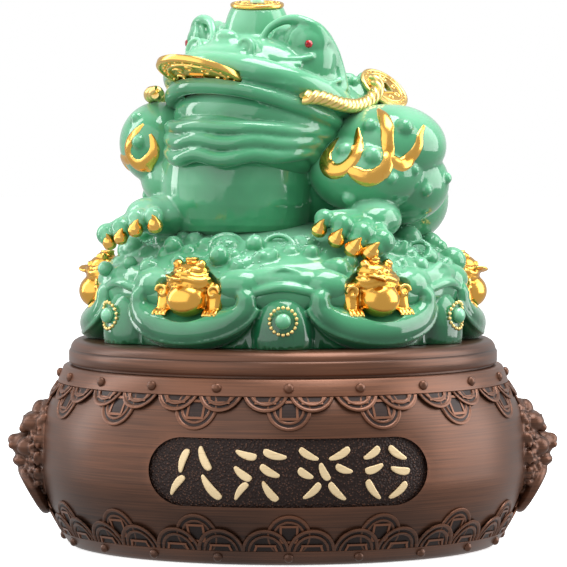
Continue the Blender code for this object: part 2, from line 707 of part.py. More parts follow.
def small_toad(number, collection, tools, finish):
    """One of the six small gold toads, with a flat back against its petal."""
    frame = facing((number + 0.5) * PETAL_STEP, TOAD_SEAT, TOAD_FEET_Z)
    form = bmesh.new()
    ellipsoid(form, (0, -12, 10.5), (11, 10.5, 10), frame=frame)
    ellipsoid(form, (0, -7, 21), (15, 12, 7), frame=frame)
    ellipsoid(form, (0, -6, 28), (11, 10, 6), frame=frame)
    mirrored_ellipsoids(form, (8, -7, 32), (3.8, 3.8, 3.8), frame=frame, segments=10, rings=6)
    mirrored_ellipsoids(form, (18, -6, 14), (8, 8, 8), frame=frame)
    mirrored_ellipsoids(form, (18, -11, 4), (5.5, 6, 4), frame=frame, segments=12, rings=8)
    ellipsoid(form, (0, 0, 15), (20, 8, 14), frame=frame)
    toad = fused(f"small_toad_{number + 1}", form, 1.3 * MM, SMALL_TOAD_FACES, collection, smoothing=1)
    depth = TOAD_SEAT_SIZE[1]
    back = frame @ Matrix.Translation((0, depth / 2 - GAP, TOAD_SEAT_SIZE[2] / 2))
    cut(toad, box_cutter(f"small_toad_back_{number + 1}", back, (1.5 * depth, depth, 1.5 * depth), tools))
    toad.data.materials.append(finish)


def lion_mask(name, angle, collection, tools, finish):
    """A lion mask on the bowl's side, with a ring that hangs from its mouth."""
    frame = facing(angle, BOWL_RADIUS, MASK_Z)
    form = bmesh.new()
    ellipsoid(form, (0, 4, -5), (25, 7, 31), frame=frame)
    ellipsoid(form, (0, -1, 16), (11, 7, 9), frame=frame)
    mirrored_ellipsoids(form, (9, -4, 11), (8, 7, 6), frame=frame)
    mirrored_ellipsoids(form, (8, -7, -3), (7, 8, 7), frame=frame)
    ellipsoid(form, (0, -10, -2), (10, 9, 8), frame=frame)
    ellipsoid(form, (0, -15, 0), (5, 5.5, 4.5), frame=frame)
    ellipsoid(form, (0, -9, -13), (8, 8, 5), frame=frame)
    curls = 12
    for step in range(curls):
        turn = math.tau * step / curls
        centre = (21 * math.sin(turn), 1, 24 * math.cos(turn) - 3)
        ellipsoid(form, centre, (5, 6, 5), frame=frame, segments=10, rings=6)
    ring = []
    for step in range(17):
        turn = math.tau * step / 16
        ring.append((13 * math.sin(turn), -4 - 7 * math.cos(turn), -30 + 12 * math.cos(turn)))
    tube(form, ring, [4] * len(ring), sides=10, frame=frame)
    mask = fused(name, form, 1.5 * MM, MASK_FACES, collection, smoothing=1)
    rows = 24
    heights = [BOWL_HEIGHT - (BOWL_HEIGHT - FOOT_Z) * row / rows for row in range(rows + 1)]
    clear = [(0, BOWL_HEIGHT)]
    clear += [(bowl_radius(min(z, COLLAR_Z)) + GAP + LACE_RISE, z) for z in heights]
    clear += [(0, FOOT_Z)]
    cut(mask, turned(name + "_bed", clear, tools, steps=96))
    mask.data.materials.append(finish)


def main():
    clear_scene()
    collection = bpy.data.collections.new("money_toad")
    tools = bpy.data.collections.new("cutters")
    for group in (collection, tools):
        bpy.context.scene.collection.children.link(group)
    bronze = material("antique_bronze", (0.17, 0.09, 0.06), 0.4, 0.5)
    jade = material("jade_resin", (0.22, 0.55, 0.36), 0.15)
    gold = material("gold_plate", (0.83, 0.55, 0.2), 0.3, 1.0)
    pale_gold = material("pale_gold_plate", (0.85, 0.66, 0.33), 0.35, 1.0)
    ruby = material("red_stone", (0.6, 0.01, 0.02), 0.1)
    pearl = material("green_pearl", (0.45, 0.72, 0.58), 0.15)

    treasure_bowl(collection, tools, bronze)
    bowl_lid(collection, bronze)
    before = set(collection.objects)
    jade_figure(collection, tools, jade)
    gold_fittings(collection, tools, gold, pale_gold, ruby, pearl)
    for number in range(PETALS):
        small_toad(number, collection, tools, gold)
    for piece in set(collection.objects) - before:
        piece.data.transform(FIGURE_TURN)
    lion_mask("lion_mask_left", math.pi / 2, collection, tools, bronze)
    lion_mask("lion_mask_right", -math.pi / 2, collection, tools, bronze)
    for piece in collection.objects:
        piece.data.shade_smooth()
        piece.data.set_sharp_from_angle(angle=SHARP_EDGE)


main()
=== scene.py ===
"""Looks of a money toad figure in green resin, on a lotus base and a bronze-coloured bowl.

Run in Blender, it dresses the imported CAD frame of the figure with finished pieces.
"""

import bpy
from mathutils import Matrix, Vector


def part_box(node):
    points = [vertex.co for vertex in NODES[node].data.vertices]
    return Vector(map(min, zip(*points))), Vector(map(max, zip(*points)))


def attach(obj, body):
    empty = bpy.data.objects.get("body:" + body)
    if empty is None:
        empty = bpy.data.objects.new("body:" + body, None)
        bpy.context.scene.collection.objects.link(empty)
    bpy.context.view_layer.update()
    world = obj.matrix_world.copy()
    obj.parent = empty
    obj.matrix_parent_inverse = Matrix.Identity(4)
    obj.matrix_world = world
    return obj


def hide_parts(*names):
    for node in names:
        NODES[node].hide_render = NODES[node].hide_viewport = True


bl_info = {
    "name": "Money toad figure",
    "version": (1, 0, 0),
    "blender": (4, 5, 0),
    "location": "View3D > Sidebar > Money toad",
    "description": "Models a resin money toad on its lotus base and treasure bowl",
    "category": "Add Mesh",
}

import math
import random

import bpy
from bpy.props import FloatProperty, FloatVectorProperty, IntProperty, PointerProperty
from mathutils import Matrix, Vector
from mathutils.bvhtree import BVHTree

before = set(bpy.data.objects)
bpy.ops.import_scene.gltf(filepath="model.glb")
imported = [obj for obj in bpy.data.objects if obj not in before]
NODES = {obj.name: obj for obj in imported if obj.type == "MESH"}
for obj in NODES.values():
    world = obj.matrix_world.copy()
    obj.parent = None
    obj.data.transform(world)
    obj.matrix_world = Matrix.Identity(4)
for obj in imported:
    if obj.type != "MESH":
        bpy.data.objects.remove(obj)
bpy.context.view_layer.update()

# Every length below is in millimetres, and a helper turns it to metres where it meets Blender
MM = 0.001

# Bowl, as the CAD frame has it
BOWL_RADIUS = 151.3
WIDEST_Z = 50
BOWL_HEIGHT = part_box("treasure_bowl")[1].z / MM
COLLAR_Z = 101.5
FOOT_Z = 9.5
SHOULDER_DROP, SHOULDER_POWER = 12.5, 3.2
KEEL_DROP, KEEL_POWER = 13.8, 1.8
RIM_RADIUS = 137
FOOT_RADIUS = 130
BAND_RISE = 2.0
WALL = 7
FLOOR = 8
PANEL_HALF_LENGTH, PANEL_HALF_HEIGHT = 83.8, 20.7
PANEL_Z = 57
PANEL_DEPTH = 2
LID_BOTTOM = 113.6
LID_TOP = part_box("bowl_lid")[1].z / MM

# Coins of the lace
BIG_COIN_RADIUS = 13.4
HALF_COIN_RADIUS = 15
UPPER_TIPS = (93.2, 82.3)
LOWER_TIPS = (22.8, 31.6)

# Lotus base
PETALS = 6
PETAL_STEP = math.tau / PETALS
LOTUS_BOTTOM = LID_TOP + 0.3
DRUM_RADIUS, DRUM_TOP = 113, 168
HEAP_RADIUS, HEAP_EDGE, HEAP_TOP = 116, 160, 203
PETAL_HALF_WIDTH, PETAL_DROP, PETAL_TOP, PETAL_RADIUS = 38, 18, 156, 115
COLUMN_RADIUS = 124
MEDALLION_Z = 146
# Share of the casting's faces that is kept where they are thinned
CASTING_SHARE, HEAD_SHARE = 0.39, 0.54
TOAD_SEAT = 104.5
TOAD_FEET_Z = 147

# The figure stands turned a little to its right on the bowl, and the viewer stands in front of the figure
FIGURE = Matrix.Rotation(math.radians(-1.4), 4, "Z")
EYE_LEVEL = 324
VIEW_DISTANCE = 3000
PICTURE_WIDTH = 354.4

# Head frame: the mouth plane, turned to the figure's right and tipped back
MOUTH_CENTRE = Vector((-16, -22, 273.7))
HEAD_TURN = math.radians(-38)
HEAD = (
    FIGURE
    @ Matrix.Translation(MOUTH_CENTRE * MM)
    @ Matrix.Rotation(HEAD_TURN, 4, "Z")
    @ Matrix.Rotation(math.radians(-18.6), 4, "X")
)
LIP_RADIUS = 52.5
MOUTH_COIN_RADIUS, MOUTH_COIN_THICKNESS, MOUTH_COIN_REACH = 29, 5, 53
MOUTH_COIN_ASIDE, MOUTH_COIN_ROLL, MOUTH_COIN_TIP = -3.8, math.radians(3.5), math.radians(-3)
CROWN_TOP = 334.5
CROWN = (
    FIGURE
    @ Matrix.Translation(Vector((MOUTH_CENTRE.x, MOUTH_CENTRE.y + 2, CROWN_TOP)) * MM)
    @ Matrix.Rotation(math.radians(6), 4, "X")
)
CROWN_COIN_RADIUS = 16.6
EYE = Vector((39, -12.5, 37.3))
EYE_RADIUS = 13.5
EYE_ASPECT = math.radians(42)
EYE_STONE_DIP = -0.08
# Points of a brow in the head frame, across, back and height, and its radius there
BROW = (
    ((19, -32, 29), 2),
    ((21, -31, 38), 2.4),
    ((26, -29, 44), 2.8),
    ((34, -26, 47.5), 3.2),
    ((42, -22, 47), 3.6),
    ((47, -16.5, 44.5), 4),
    ((49, -10, 41), 4.4),
    ((48.5, -2, 37), 5.2),
    ((47, 6, 31), 6.2),
    ((47, 11, 23), 7.4),
    ((49, 13, 14), 8),
)
# Each hand: its palm, then each knuckle with its radius, the way from it to its claw, and the claw's radius
HANDS = {
    "left": (
        (54, -66, 204),
        ((25, -82, 206), 6.2, (-3, -5, -6.5), 5),
        ((36, -87, 202), 7.2, (-3.6, -5.6, -8.2), 5.4),
        ((48, -89, 197), 7.8, (-5.4, -6.2, -8.6), 5.9),
        ((60, -88, 192), 8.2, (-7.4, -6.6, -6), 5.9),
    ),
    "right": (
        (-82, -44, 207),
        ((-79, -66, 207), 6.2, (1, -5.4, -5.6), 5),
        ((-89, -61, 205), 6.8, (-1, -6, -6.2), 5),
        ((-99, -54, 199), 7, (-0.3, -6.4, -5.4), 4.6),
        ((-108, -45, 195), 7, (1.6, -6.8, -5), 4.6),
    ),
    "hind": (
        (6, 90, 200),
        ((-18, 106, 190), 7.5, (0, 6, -6.5), 4.4),
        ((-2, 110, 188), 8, (0, 6, -6.5), 4.4),
        ((14, 110, 188), 8, (0, 6, -6.5), 4.4),
        ((30, 106, 190), 7.5, (0, 6, -6.5), 4.4),
    ),
}
ROPE_RADIUS = 4.4
# Points of each rope in the head frame: reach, degrees from the snout, height
ROPES = {
    "left": (
        (60, 66, -2),
        (61.5, 76, 1),
        (62.5, 92, 2.5),
        (63, 109, 7),
        (67, 121, 14),
        (71, 127, 24),
        (68, 132, 33),
    ),
    "right": ((62, -50, -5), (66, -58, -4), (69, -68, -2.5), (70, -78, -1), (70, -87, 1)),
}
BACK_COINS = {
    "left": ((63, -4, 284), (0.53, -0.45, 0.72)),
    "right": ((-72, 44, 271), (-0.6, 0.3, 0.74)),
}
BACK_COIN_RADIUS = 17


def solid_tree(mesh):
    return BVHTree.FromPolygons(
        [vertex.co.copy() for vertex in mesh.vertices],
        [tuple(face.vertices) for face in mesh.polygons],
    )


CAD_FIGURE = solid_tree(NODES["jade_figure"].data)


# Modelling helpers


def deselect():
    bpy.ops.object.select_all(action="DESELECT")


def activate(obj):
    deselect()
    obj.select_set(True)
    bpy.context.view_layer.objects.active = obj


def set_down(obj):
    """Moves the object's place into its mesh."""
    activate(obj)
    bpy.ops.object.transform_apply(location=True, rotation=True, scale=True)


def apply_modifiers(obj):
    activate(obj)
    for change in list(obj.modifiers):
        bpy.ops.object.modifier_apply(modifier=change.name)


def joined(parts, name):
    """Several objects as one mesh with its origin at the scene's origin."""
    deselect()
    for part in parts:
        part.select_set(True)
    bpy.context.view_layer.objects.active = parts[0]
    if len(parts) > 1:
        bpy.ops.object.join()
    made = bpy.context.object
    made.name = name
    made.data.name = name
    set_down(made)
    return made


def placed_copy(obj, place):
    """A copy with its own mesh, moved by a matrix."""
    made = obj.copy()
    made.data = obj.data.copy()
    made.data.transform(place)
    bpy.context.scene.collection.objects.link(made)
    return made


def ring_of(obj, count, name, first=0.0):
    """The object copied round Z, the copies joined."""
    copies = [placed_copy(obj, Matrix.Rotation(first + math.tau * n / count, 4, "Z")) for n in range(count)]
    bpy.data.objects.remove(obj)
    return joined(copies, name)


def smooth_shaded(obj, sharp=40):
    activate(obj)
    bpy.ops.object.shade_smooth_by_angle(angle=math.radians(sharp))


def tube(path, radii, place=FIGURE, closed=False, sides=3, steps=5):
    """A round tube through the points, drawn as a curve with a radius at each point."""
    deselect()
    bpy.ops.curve.primitive_bezier_curve_add()
    made = bpy.context.object
    line = made.data.splines[0]
    line.bezier_points.add(len(path) - 2)
    for point, at, radius in zip(line.bezier_points, path, radii):
        point.co = Vector(at) * MM
        point.handle_left_type = point.handle_right_type = "AUTO"
        point.radius = radius
    line.use_cyclic_u = closed
    made.data.bevel_depth = MM
    made.data.bevel_resolution = sides
    made.data.resolution_u = steps
    made.data.use_fill_caps = True
    bpy.ops.object.convert(target="MESH")
    made = bpy.context.object
    made.matrix_world = place
    set_down(made)
    return made


def ball(centre, radii, turn=0.0, place=FIGURE, segments=24, rings=14):
    """An ellipsoid at a point of a frame, turned about that frame's Z."""
    stand = place @ Matrix.Translation(Vector(centre) * MM) @ Matrix.Rotation(turn, 4, "Z")
    size = radii if hasattr(radii, "__len__") else (radii, radii, radii)
    deselect()
    bpy.ops.mesh.primitive_uv_sphere_add(
        segments=segments,
        ring_count=rings,
        radius=MM,
        calc_uvs=False,
        location=stand.translation,
        rotation=stand.to_euler(),
        scale=size,
    )
    return bpy.context.object


def pair(centre, radii, turn=0.0, **where):
    """The same ellipsoid on the left and on the right of a frame."""
    x, y, z = centre
    return [ball((side * x, y, z), radii, side * turn, **where) for side in (1, -1)]


def disc(radius, thickness, place, sides=48):
    """A round plate with its axis on the frame's Z, and its edges a little rounded."""
    deselect()
    bpy.ops.mesh.primitive_cylinder_add(
        vertices=sides, radius=radius * MM, depth=thickness * MM, calc_uvs=False
    )
    made = bpy.context.object
    made.matrix_world = place
    set_down(made)
    soften = made.modifiers.new("Edge", "BEVEL")
    soften.width = min(0.6, thickness / 4) * MM
    soften.segments = 2
    apply_modifiers(made)
    return made


def ring(radius, thickness, place, flat=1.0, sides=48, around=8):
    """A round ring about the frame's Z, flattened along it if asked."""
    deselect()
    bpy.ops.mesh.primitive_torus_add(
        major_segments=sides,
        minor_segments=around,
        major_radius=radius * MM,
        minor_radius=thickness * MM,
        generate_uvs=False,
    )
    made = bpy.context.object
    made.matrix_world = place @ Matrix.Diagonal((1, 1, flat, 1))
    set_down(made)
    return made


def box(size, place):
    deselect()
    bpy.ops.mesh.primitive_cube_add(size=1, calc_uvs=False)
    made = bpy.context.object
    made.matrix_world = place @ Matrix.Diagonal((*(Vector(size) * MM), 1))
    set_down(made)
    return made


def at(*offset):
    return Matrix.Translation(Vector(offset) * MM)


def fused(parts, name, voxel, smoothing=3, share=1.0):
    """One closed skin over overlapping parts, softened like a casting; share thins its flatter faces."""
    made = joined(parts, name)
    skin = made.modifiers.new("Skin", "REMESH")
    skin.mode = "VOXEL"
    skin.voxel_size = voxel * 1 * MM
    soften = made.modifiers.new("Soften", "SMOOTH")
    soften.factor = 0.5
    soften.iterations = smoothing
    if share < 1:
        thin = made.modifiers.new("Thin", "DECIMATE")
        thin.ratio = share
    apply_modifiers(made)
    bpy.ops.object.shade_smooth()
    return made


def lathed(name, profile, sides):
    """An outline of radius and height, drawn point by point and spun round Z."""
    deselect()
    bpy.ops.mesh.primitive_plane_add(size=MM, calc_uvs=False)
    bpy.ops.object.mode_set(mode="EDIT")
    bpy.ops.mesh.merge(type="CENTER")
    at_point = Vector((0, 0, 0))
    for index, (radius, height) in enumerate(profile):
        step = Vector((radius, 0, height)) * MM - at_point
        at_point = at_point + step
        if index:
            bpy.ops.mesh.extrude_region_move(TRANSFORM_OT_translate={"value": step})
        else:
            bpy.ops.transform.translate(value=step)
    bpy.ops.mesh.select_all(action="SELECT")
    bpy.ops.mesh.spin(steps=sides, angle=math.tau, axis=(0, 0, 1), center=(0, 0, 0))
    bpy.ops.mesh.select_all(action="SELECT")
    bpy.ops.mesh.remove_doubles(threshold=0.00001)
    bpy.ops.mesh.normals_make_consistent(inside=False)
    bpy.ops.object.mode_set(mode="OBJECT")
    made = bpy.context.object
    made.name = name
    made.data.name = name
    return made


def carved(obj, cutter, operation="DIFFERENCE"):
    """Cuts one object with another, which is used up."""
    change = obj.modifiers.new("Carve", "BOOLEAN")
    change.operation = operation
    change.object = cutter
    apply_modifiers(obj)
    bpy.data.objects.remove(cutter)


def bowl_radius(height):
    """The bowl's outer radius between its foot band and its collar."""
    if height >= WIDEST_Z:
        share = (height - WIDEST_Z) / (COLLAR_Z - WIDEST_Z)
        return BOWL_RADIUS - SHOULDER_DROP * min(share, 1) ** SHOULDER_POWER
    share = (WIDEST_Z - height) / (WIDEST_Z - FOOT_Z)
    return BOWL_RADIUS - KEEL_DROP * min(share, 1) ** KEEL_POWER


def laid_on_wall(obj, reference):
    """Bends a flat piece on to the bowl: X runs round the wall, -Y stands off it, Z is the height."""
    for vertex in obj.data.vertices:
        across, out, height = vertex.co / MM
        angle = across / reference
        radius = bowl_radius(height) - out
        vertex.co = Vector((radius * math.sin(angle), -radius * math.cos(angle), height)) * MM


def facing(angle, distance, height):
    """A frame at this angle from the front: X along the wall, -Y outwards."""
    return Matrix.Rotation(angle, 4, "Z") @ at(0, -distance, height)


def round_the_axis(radius, angle, height):
    return (radius * math.sin(angle), -radius * math.cos(angle), height)


def seen_on(tree, x, z, sink=0.0):
    """Where the viewer sees (x, z) of the upright plane through the axis, sunk under the surface."""
    eye = FIGURE @ Vector((0, -VIEW_DISTANCE, EYE_LEVEL)) * MM
    target = FIGURE @ Vector((x, 0, z)) * MM
    spot, normal, _, _ = tree.ray_cast(eye, (target - eye).normalized())
    if spot is None:
        spot, normal, _, _ = tree.find_nearest(target)
    return FIGURE.inverted() @ (spot / MM - normal * sink)


def seen_tube(tree, path, radii, sink, **detail):
    return tube([seen_on(tree, x, z, sink) for x, z in path], radii, **detail)


def laid_flat(obj, tree, keep):
    """Presses a piece towards the surface that it lies on, to a share of its height."""
    for vertex in obj.data.vertices:
        spot, normal, _, _ = tree.find_nearest(vertex.co)
        vertex.co = spot + normal * ((vertex.co - spot).dot(normal) * keep)


def turned_to(direction, centre):
    """A frame of the figure at a point, with its Z along a direction."""
    turn = Vector(direction).to_track_quat("Z", "Y").to_matrix().to_4x4()
    return FIGURE @ at(*centre) @ turn


# Finishes


def srgb(code):
    """A hex colour as the linear values that Blender works in."""
    parts = [int(code[n : n + 2], 16) / 255 for n in (1, 3, 5)]
    return [part / 12.92 if part <= 0.04045 else ((part + 0.055) / 1.055) ** 2.4 for part in parts]


def add_node(tree, kind, inputs=None, **settings):
    """Adds one node with its settings, and sets or links its inputs."""
    made = tree.nodes.new(kind)
    for name, value in settings.items():
        setattr(made, name, value)
    for name, value in (inputs or {}).items():
        if isinstance(value, bpy.types.NodeSocket):
            tree.links.new(value, made.inputs[name])
        else:
            made.inputs[name].default_value = value
    return made


def new_finish(name):
    made = bpy.data.materials.new(name)
    made.use_nodes = True
    tree = made.node_tree
    tree.nodes.clear()
    shader = add_node(tree, "ShaderNodeBsdfPrincipled")
    add_node(tree, "ShaderNodeOutputMaterial", {"Surface": shader.outputs[0]})
    return made, tree, shader


def ramp(tree, factor, stops):
    """A colour ramp through (place, colour) stops."""
    made = add_node(tree, "ShaderNodeValToRGB", {"Fac": factor})
    band = made.color_ramp
    while len(band.elements) < len(stops):
        band.elements.new(0.5)
    for element, (place, colour) in zip(band.elements, stops):
        element.position = place
        element.color = (*colour, 1)
    return made.outputs["Color"]


def blend_maths(tree, operation, first, second, third=None):
    made = add_node(tree, "ShaderNodeMath", {0: first, 1: second}, operation=operation)
    if third is not None:
        if isinstance(third, bpy.types.NodeSocket):
            tree.links.new(third, made.inputs[2])
        else:
            made.inputs[2].default_value = third
    return made.outputs[0]


def jade_resin(name, deep, middle, pale):
    """Cast translucent resin, polished: pale clouds in green, painted light that makes it paler where it
    faces up and on raised places, painted shade in creases and towards its foot, and a wet gloss.
    """
    made, tree, shader = new_finish(name)
    place = add_node(tree, "ShaderNodeTexCoord").outputs["Object"]
    cloud_size = 55 * MM
    clouds = add_node(
        tree,
        "ShaderNodeTexNoise",
        {"Vector": place, "Scale": 1 / cloud_size, "Detail": 2, "Roughness": 0.5, "Distortion": 0.4},
    ).outputs["Fac"]
    clouds = blend_maths(tree, "MULTIPLY_ADD", clouds, 0.55, 0.21)
    geometry = add_node(tree, "ShaderNodeNewGeometry")
    upwards = add_node(tree, "ShaderNodeSeparateXYZ", {"Vector": geometry.outputs["Normal"]}).outputs["Z"]
    height = add_node(tree, "ShaderNodeSeparateXYZ", {"Vector": place}).outputs["Z"]
    # Painted light and shade: the resin is paler where it faces up and darker where it faces down
    shade = blend_maths(tree, "MULTIPLY_ADD", upwards, 0.16, clouds)
    # Painted light and shade: paler on raised places and darker in creases, from the mesh's pointiness
    raised = blend_maths(tree, "MULTIPLY_ADD", geometry.outputs["Pointiness"], 1.2, -0.6)
    shade = blend_maths(tree, "ADD", shade, raised)
    # Painted shade: the casting is darker towards its foot, where less light reaches it
    lift = add_node(
        tree,
        "ShaderNodeMapRange",
        {"Value": height, "From Min": 0.122, "From Max": 0.168, "To Min": -0.42, "To Max": 0.0},
    ).outputs["Result"]
    shade = blend_maths(tree, "ADD", shade, lift)
    colour = ramp(tree, shade, ((0.2, deep), (0.5, middle), (0.78, pale)))
    tree.links.new(colour, shader.inputs["Base Color"])
    shader.inputs["Roughness"].default_value = 0.1
    shader.inputs["IOR"].default_value = 1.54
    shader.inputs["Subsurface Weight"].default_value = 0.25
    shader.inputs["Subsurface Radius"].default_value = (0.4, 1.0, 0.6)
    shader.inputs["Subsurface Scale"].default_value = 0.006
    shader.inputs["Coat Weight"].default_value = 0.35
    shader.inputs["Coat Roughness"].default_value = 0.04
    # Light that comes out of the thin edges of the translucent casting
    shader.inputs["Sheen Weight"].default_value = 0.28
    shader.inputs["Sheen Roughness"].default_value = 0.35
    shader.inputs["Sheen Tint"].default_value = (*srgb("#d8f5e4"), 1)
    return made


def gold_plate(name, dark, gold, bright, roughness):
    """Electroplated gold on cast resin: mirror-warm with a painted highlight on the high places, and brown
    with painted shade in the hollows.
    """
    made, tree, shader = new_finish(name)
    point = add_node(tree, "ShaderNodeNewGeometry").outputs["Pointiness"]
    # Painted light: pointy places get the bright gold as a painted highlight, hollows the dark gold as
    # painted shade
    colour = ramp(tree, point, ((0.42, dark), (0.5, gold), (0.58, bright)))
    tree.links.new(colour, shader.inputs["Base Color"])
    shader.inputs["Metallic"].default_value = 1.0
    shader.inputs["Roughness"].default_value = roughness
    return made


def bronze_lacquer(name, dark, brown, warm, roughness=0.36):
    """Brown bronze-powder lacquer, rubbed round the bowl so that fine lighter streaks run level."""
    made, tree, shader = new_finish(name)
    place = add_node(tree, "ShaderNodeTexCoord").outputs["Object"]
    streak_length, streak_height = 70 * MM, 0.9 * MM
    stretched = add_node(
        tree,
        "ShaderNodeMapping",
        {"Vector": place, "Scale": (1 / streak_length, 1 / streak_length, 1 / streak_height)},
    ).outputs["Vector"]
    streaks = add_node(
        tree, "ShaderNodeTexNoise", {"Vector": stretched, "Scale": 1.0, "Detail": 4, "Roughness": 0.6}
    ).outputs["Fac"]
    patch_size = 90 * MM
    patches = add_node(
        tree, "ShaderNodeTexNoise", {"Vector": place, "Scale": 1 / patch_size, "Detail": 2}
    ).outputs["Fac"]
    point = add_node(tree, "ShaderNodeNewGeometry").outputs["Pointiness"]
    # Lighter on raised edges and darker in hollows, from the mesh's pointiness
    edge_lighter_hollow_darker = blend_maths(tree, "MULTIPLY_ADD", point, 2.2, -1.1)
    shade = blend_maths(tree, "MULTIPLY_ADD", streaks, 0.55, blend_maths(tree, "MULTIPLY", patches, 0.5))
    shade = blend_maths(tree, "ADD", shade, edge_lighter_hollow_darker)
    # Painted shade: the lacquer is darker towards the foot, where less light reaches it
    height = add_node(tree, "ShaderNodeSeparateXYZ", {"Vector": place}).outputs["Z"]
    foot = add_node(
        tree,
        "ShaderNodeMapRange",
        {"Value": height, "From Min": 0.008, "From Max": 0.05, "To Min": -0.13, "To Max": 0.0},
    ).outputs["Result"]
    shade = blend_maths(tree, "ADD", shade, foot)
    colour = ramp(tree, shade, ((0.25, dark), (0.5, brown), (0.75, warm)))
    tree.links.new(colour, shader.inputs["Base Color"])
    rough = add_node(
        tree,
        "ShaderNodeMapRange",
        {"Value": streaks, "To Min": roughness - 0.08, "To Max": roughness + 0.1},
    ).outputs["Result"]
    tree.links.new(rough, shader.inputs["Roughness"])
    shader.inputs["Metallic"].default_value = 0.6
    shader.inputs["Coat Weight"].default_value = 0.15
    shader.inputs["Coat Roughness"].default_value = 0.28
    bump = add_node(
        tree, "ShaderNodeBump", {"Height": streaks, "Strength": 0.25, "Distance": 0.0002}
    ).outputs["Normal"]
    tree.links.new(bump, shader.inputs["Normal"])
    return made


def pebbled_ground(name, dark, raised):
    """The panel's sunk ground: nearly black lacquer over fine cast pebble grain, rubbed bright on top."""
    made, tree, shader = new_finish(name)
    place = add_node(tree, "ShaderNodeTexCoord").outputs["Object"]
    pebble = 1.5 * MM
    cells = add_node(
        tree, "ShaderNodeTexVoronoi", {"Vector": place, "Scale": 1 / pebble}, feature="F1"
    ).outputs["Distance"]
    colour = ramp(tree, cells, ((0.05, raised), (0.35, dark)))
    tree.links.new(colour, shader.inputs["Base Color"])
    shader.inputs["Metallic"].default_value = 0.5
    shader.inputs["Roughness"].default_value = 0.45
    tips = blend_maths(tree, "SUBTRACT", 1.0, cells)
    bump = add_node(tree, "ShaderNodeBump", {"Height": tips, "Strength": 0.8, "Distance": 0.0006})
    tree.links.new(bump.outputs["Normal"], shader.inputs["Normal"])
    return made


def brushed_enamel(name, pale, shaded):
    """Champagne enamel wiped over the raised strokes: satin, with faint wipe marks and browner edges."""
    made, tree, shader = new_finish(name)
    place = add_node(tree, "ShaderNodeTexCoord").outputs["Object"]
    wipe_length, wipe_height = 12 * MM, 0.5 * MM
    stretched = add_node(
        tree,
        "ShaderNodeMapping",
        {"Vector": place, "Scale": (1 / wipe_length, 1 / wipe_length, 1 / wipe_height)},
    ).outputs["Vector"]
    wipes = add_node(tree, "ShaderNodeTexNoise", {"Vector": stretched, "Scale": 1.0,
                                                  "Detail": 3}).outputs["Fac"]
    point = add_node(tree, "ShaderNodeNewGeometry").outputs["Pointiness"]
    shade = blend_maths(tree, "MULTIPLY_ADD", point, -1.5, 0.95)
    shade = blend_maths(tree, "MULTIPLY_ADD", wipes, 0.6, shade)
    tree.links.new(ramp(tree, shade, ((0.2, shaded), (0.45, pale))), shader.inputs["Base Color"])
    shader.inputs["Metallic"].default_value = 0.3
    shader.inputs["Roughness"].default_value = 0.38
    bump = add_node(tree, "ShaderNodeBump", {"Height": wipes, "Strength": 0.3, "Distance": 0.0001})
    tree.links.new(bump.outputs["Normal"], shader.inputs["Normal"])
    return made


def red_acrylic(name, deep, bright):
    """A clear red acrylic stone with a foiled back: deep red, with its facets painted lighter and darker as
    flashes of light, under a hard gloss.
    """
    made, tree, shader = new_finish(name)
    place = add_node(tree, "ShaderNodeTexCoord").outputs["Object"]
    flash = 1.2 * MM
    # Painted light: each facet cell gets its own brightness, as a painted flash
    facets = add_node(tree, "ShaderNodeTexVoronoi", {"Vector": place, "Scale": 1 / flash}).outputs["Color"]
    tree.links.new(ramp(tree, facets, ((0.2, deep), (0.7, bright))), shader.inputs["Base Color"])
    shader.inputs["Roughness"].default_value = 0.06
    shader.inputs["IOR"].default_value = 1.49
    shader.inputs["Coat Weight"].default_value = 0.4
    shader.inputs["Coat Roughness"].default_value = 0.02
    return made


def lit_table(name):
    """White opal acrylic lit from below, as on a product table."""
    made, _, shader = new_finish(name)
    shader.inputs["Base Color"].default_value = (0.9, 0.9, 0.9, 1)
    shader.inputs["Roughness"].default_value = 0.9
    shader.inputs["Emission Color"].default_value = (1, 1, 1, 1)
    shader.inputs["Emission Strength"].default_value = 0.68
    return made


def finish(name):
    """The finish of this name, made on first use from the colours in the panel."""
    if name in bpy.data.materials:
        return bpy.data.materials[name]
    colours = bpy.context.scene.toad_colours
    if name == "Cast jade resin":
        return jade_resin(name, colours.jade_deep_shade, colours.jade, colours.jade_pale)
    if name == "Pale jade resin":
        return jade_resin(name, colours.jade, colours.jade_pale, srgb("#c9efdc"))
    # The dark and bright golds below are painted shade in hollows and a painted highlight on high places
    if name == "Gold plate on resin":
        return gold_plate(name, srgb("#664208"), colours.gold, srgb("#fbd27a"), 0.22)
    if name == "Pale gold leaf":
        return gold_plate(name, srgb("#7c5414"), colours.pale_gold, srgb("#f2d68e"), 0.3)
    if name == "Bronze lacquer on resin":
        return bronze_lacquer(name, colours.bronze_dark, colours.bronze, srgb("#744a34"))
    if name == "Dark bronze ground":
        return bronze_lacquer(name, srgb("#140c09"), srgb("#251713"), srgb("#3a2720"), 0.5)
    if name == "Pebbled bronze ground":
        return pebbled_ground(name, srgb("#22130e"), srgb("#6a4735"))
    if name == "Brushed champagne enamel":
        return brushed_enamel(name, colours.lettering, srgb("#b98d5c"))
    if name == "Clear red acrylic":
        return red_acrylic(name, srgb("#5c020a"), colours.eyes)
    raise ValueError(f"no finish named {name}")


def finished(obj, finish_name, slot, *nodes):
    """Gives a piece its finish, and the CAD nodes that it stands for; the slot is not used."""
    obj.data.materials.clear()
    obj.data.materials.append(finish(finish_name))
    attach(obj, "root")
    if nodes:
        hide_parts(*nodes)
    return obj


# What a user of the panel can change


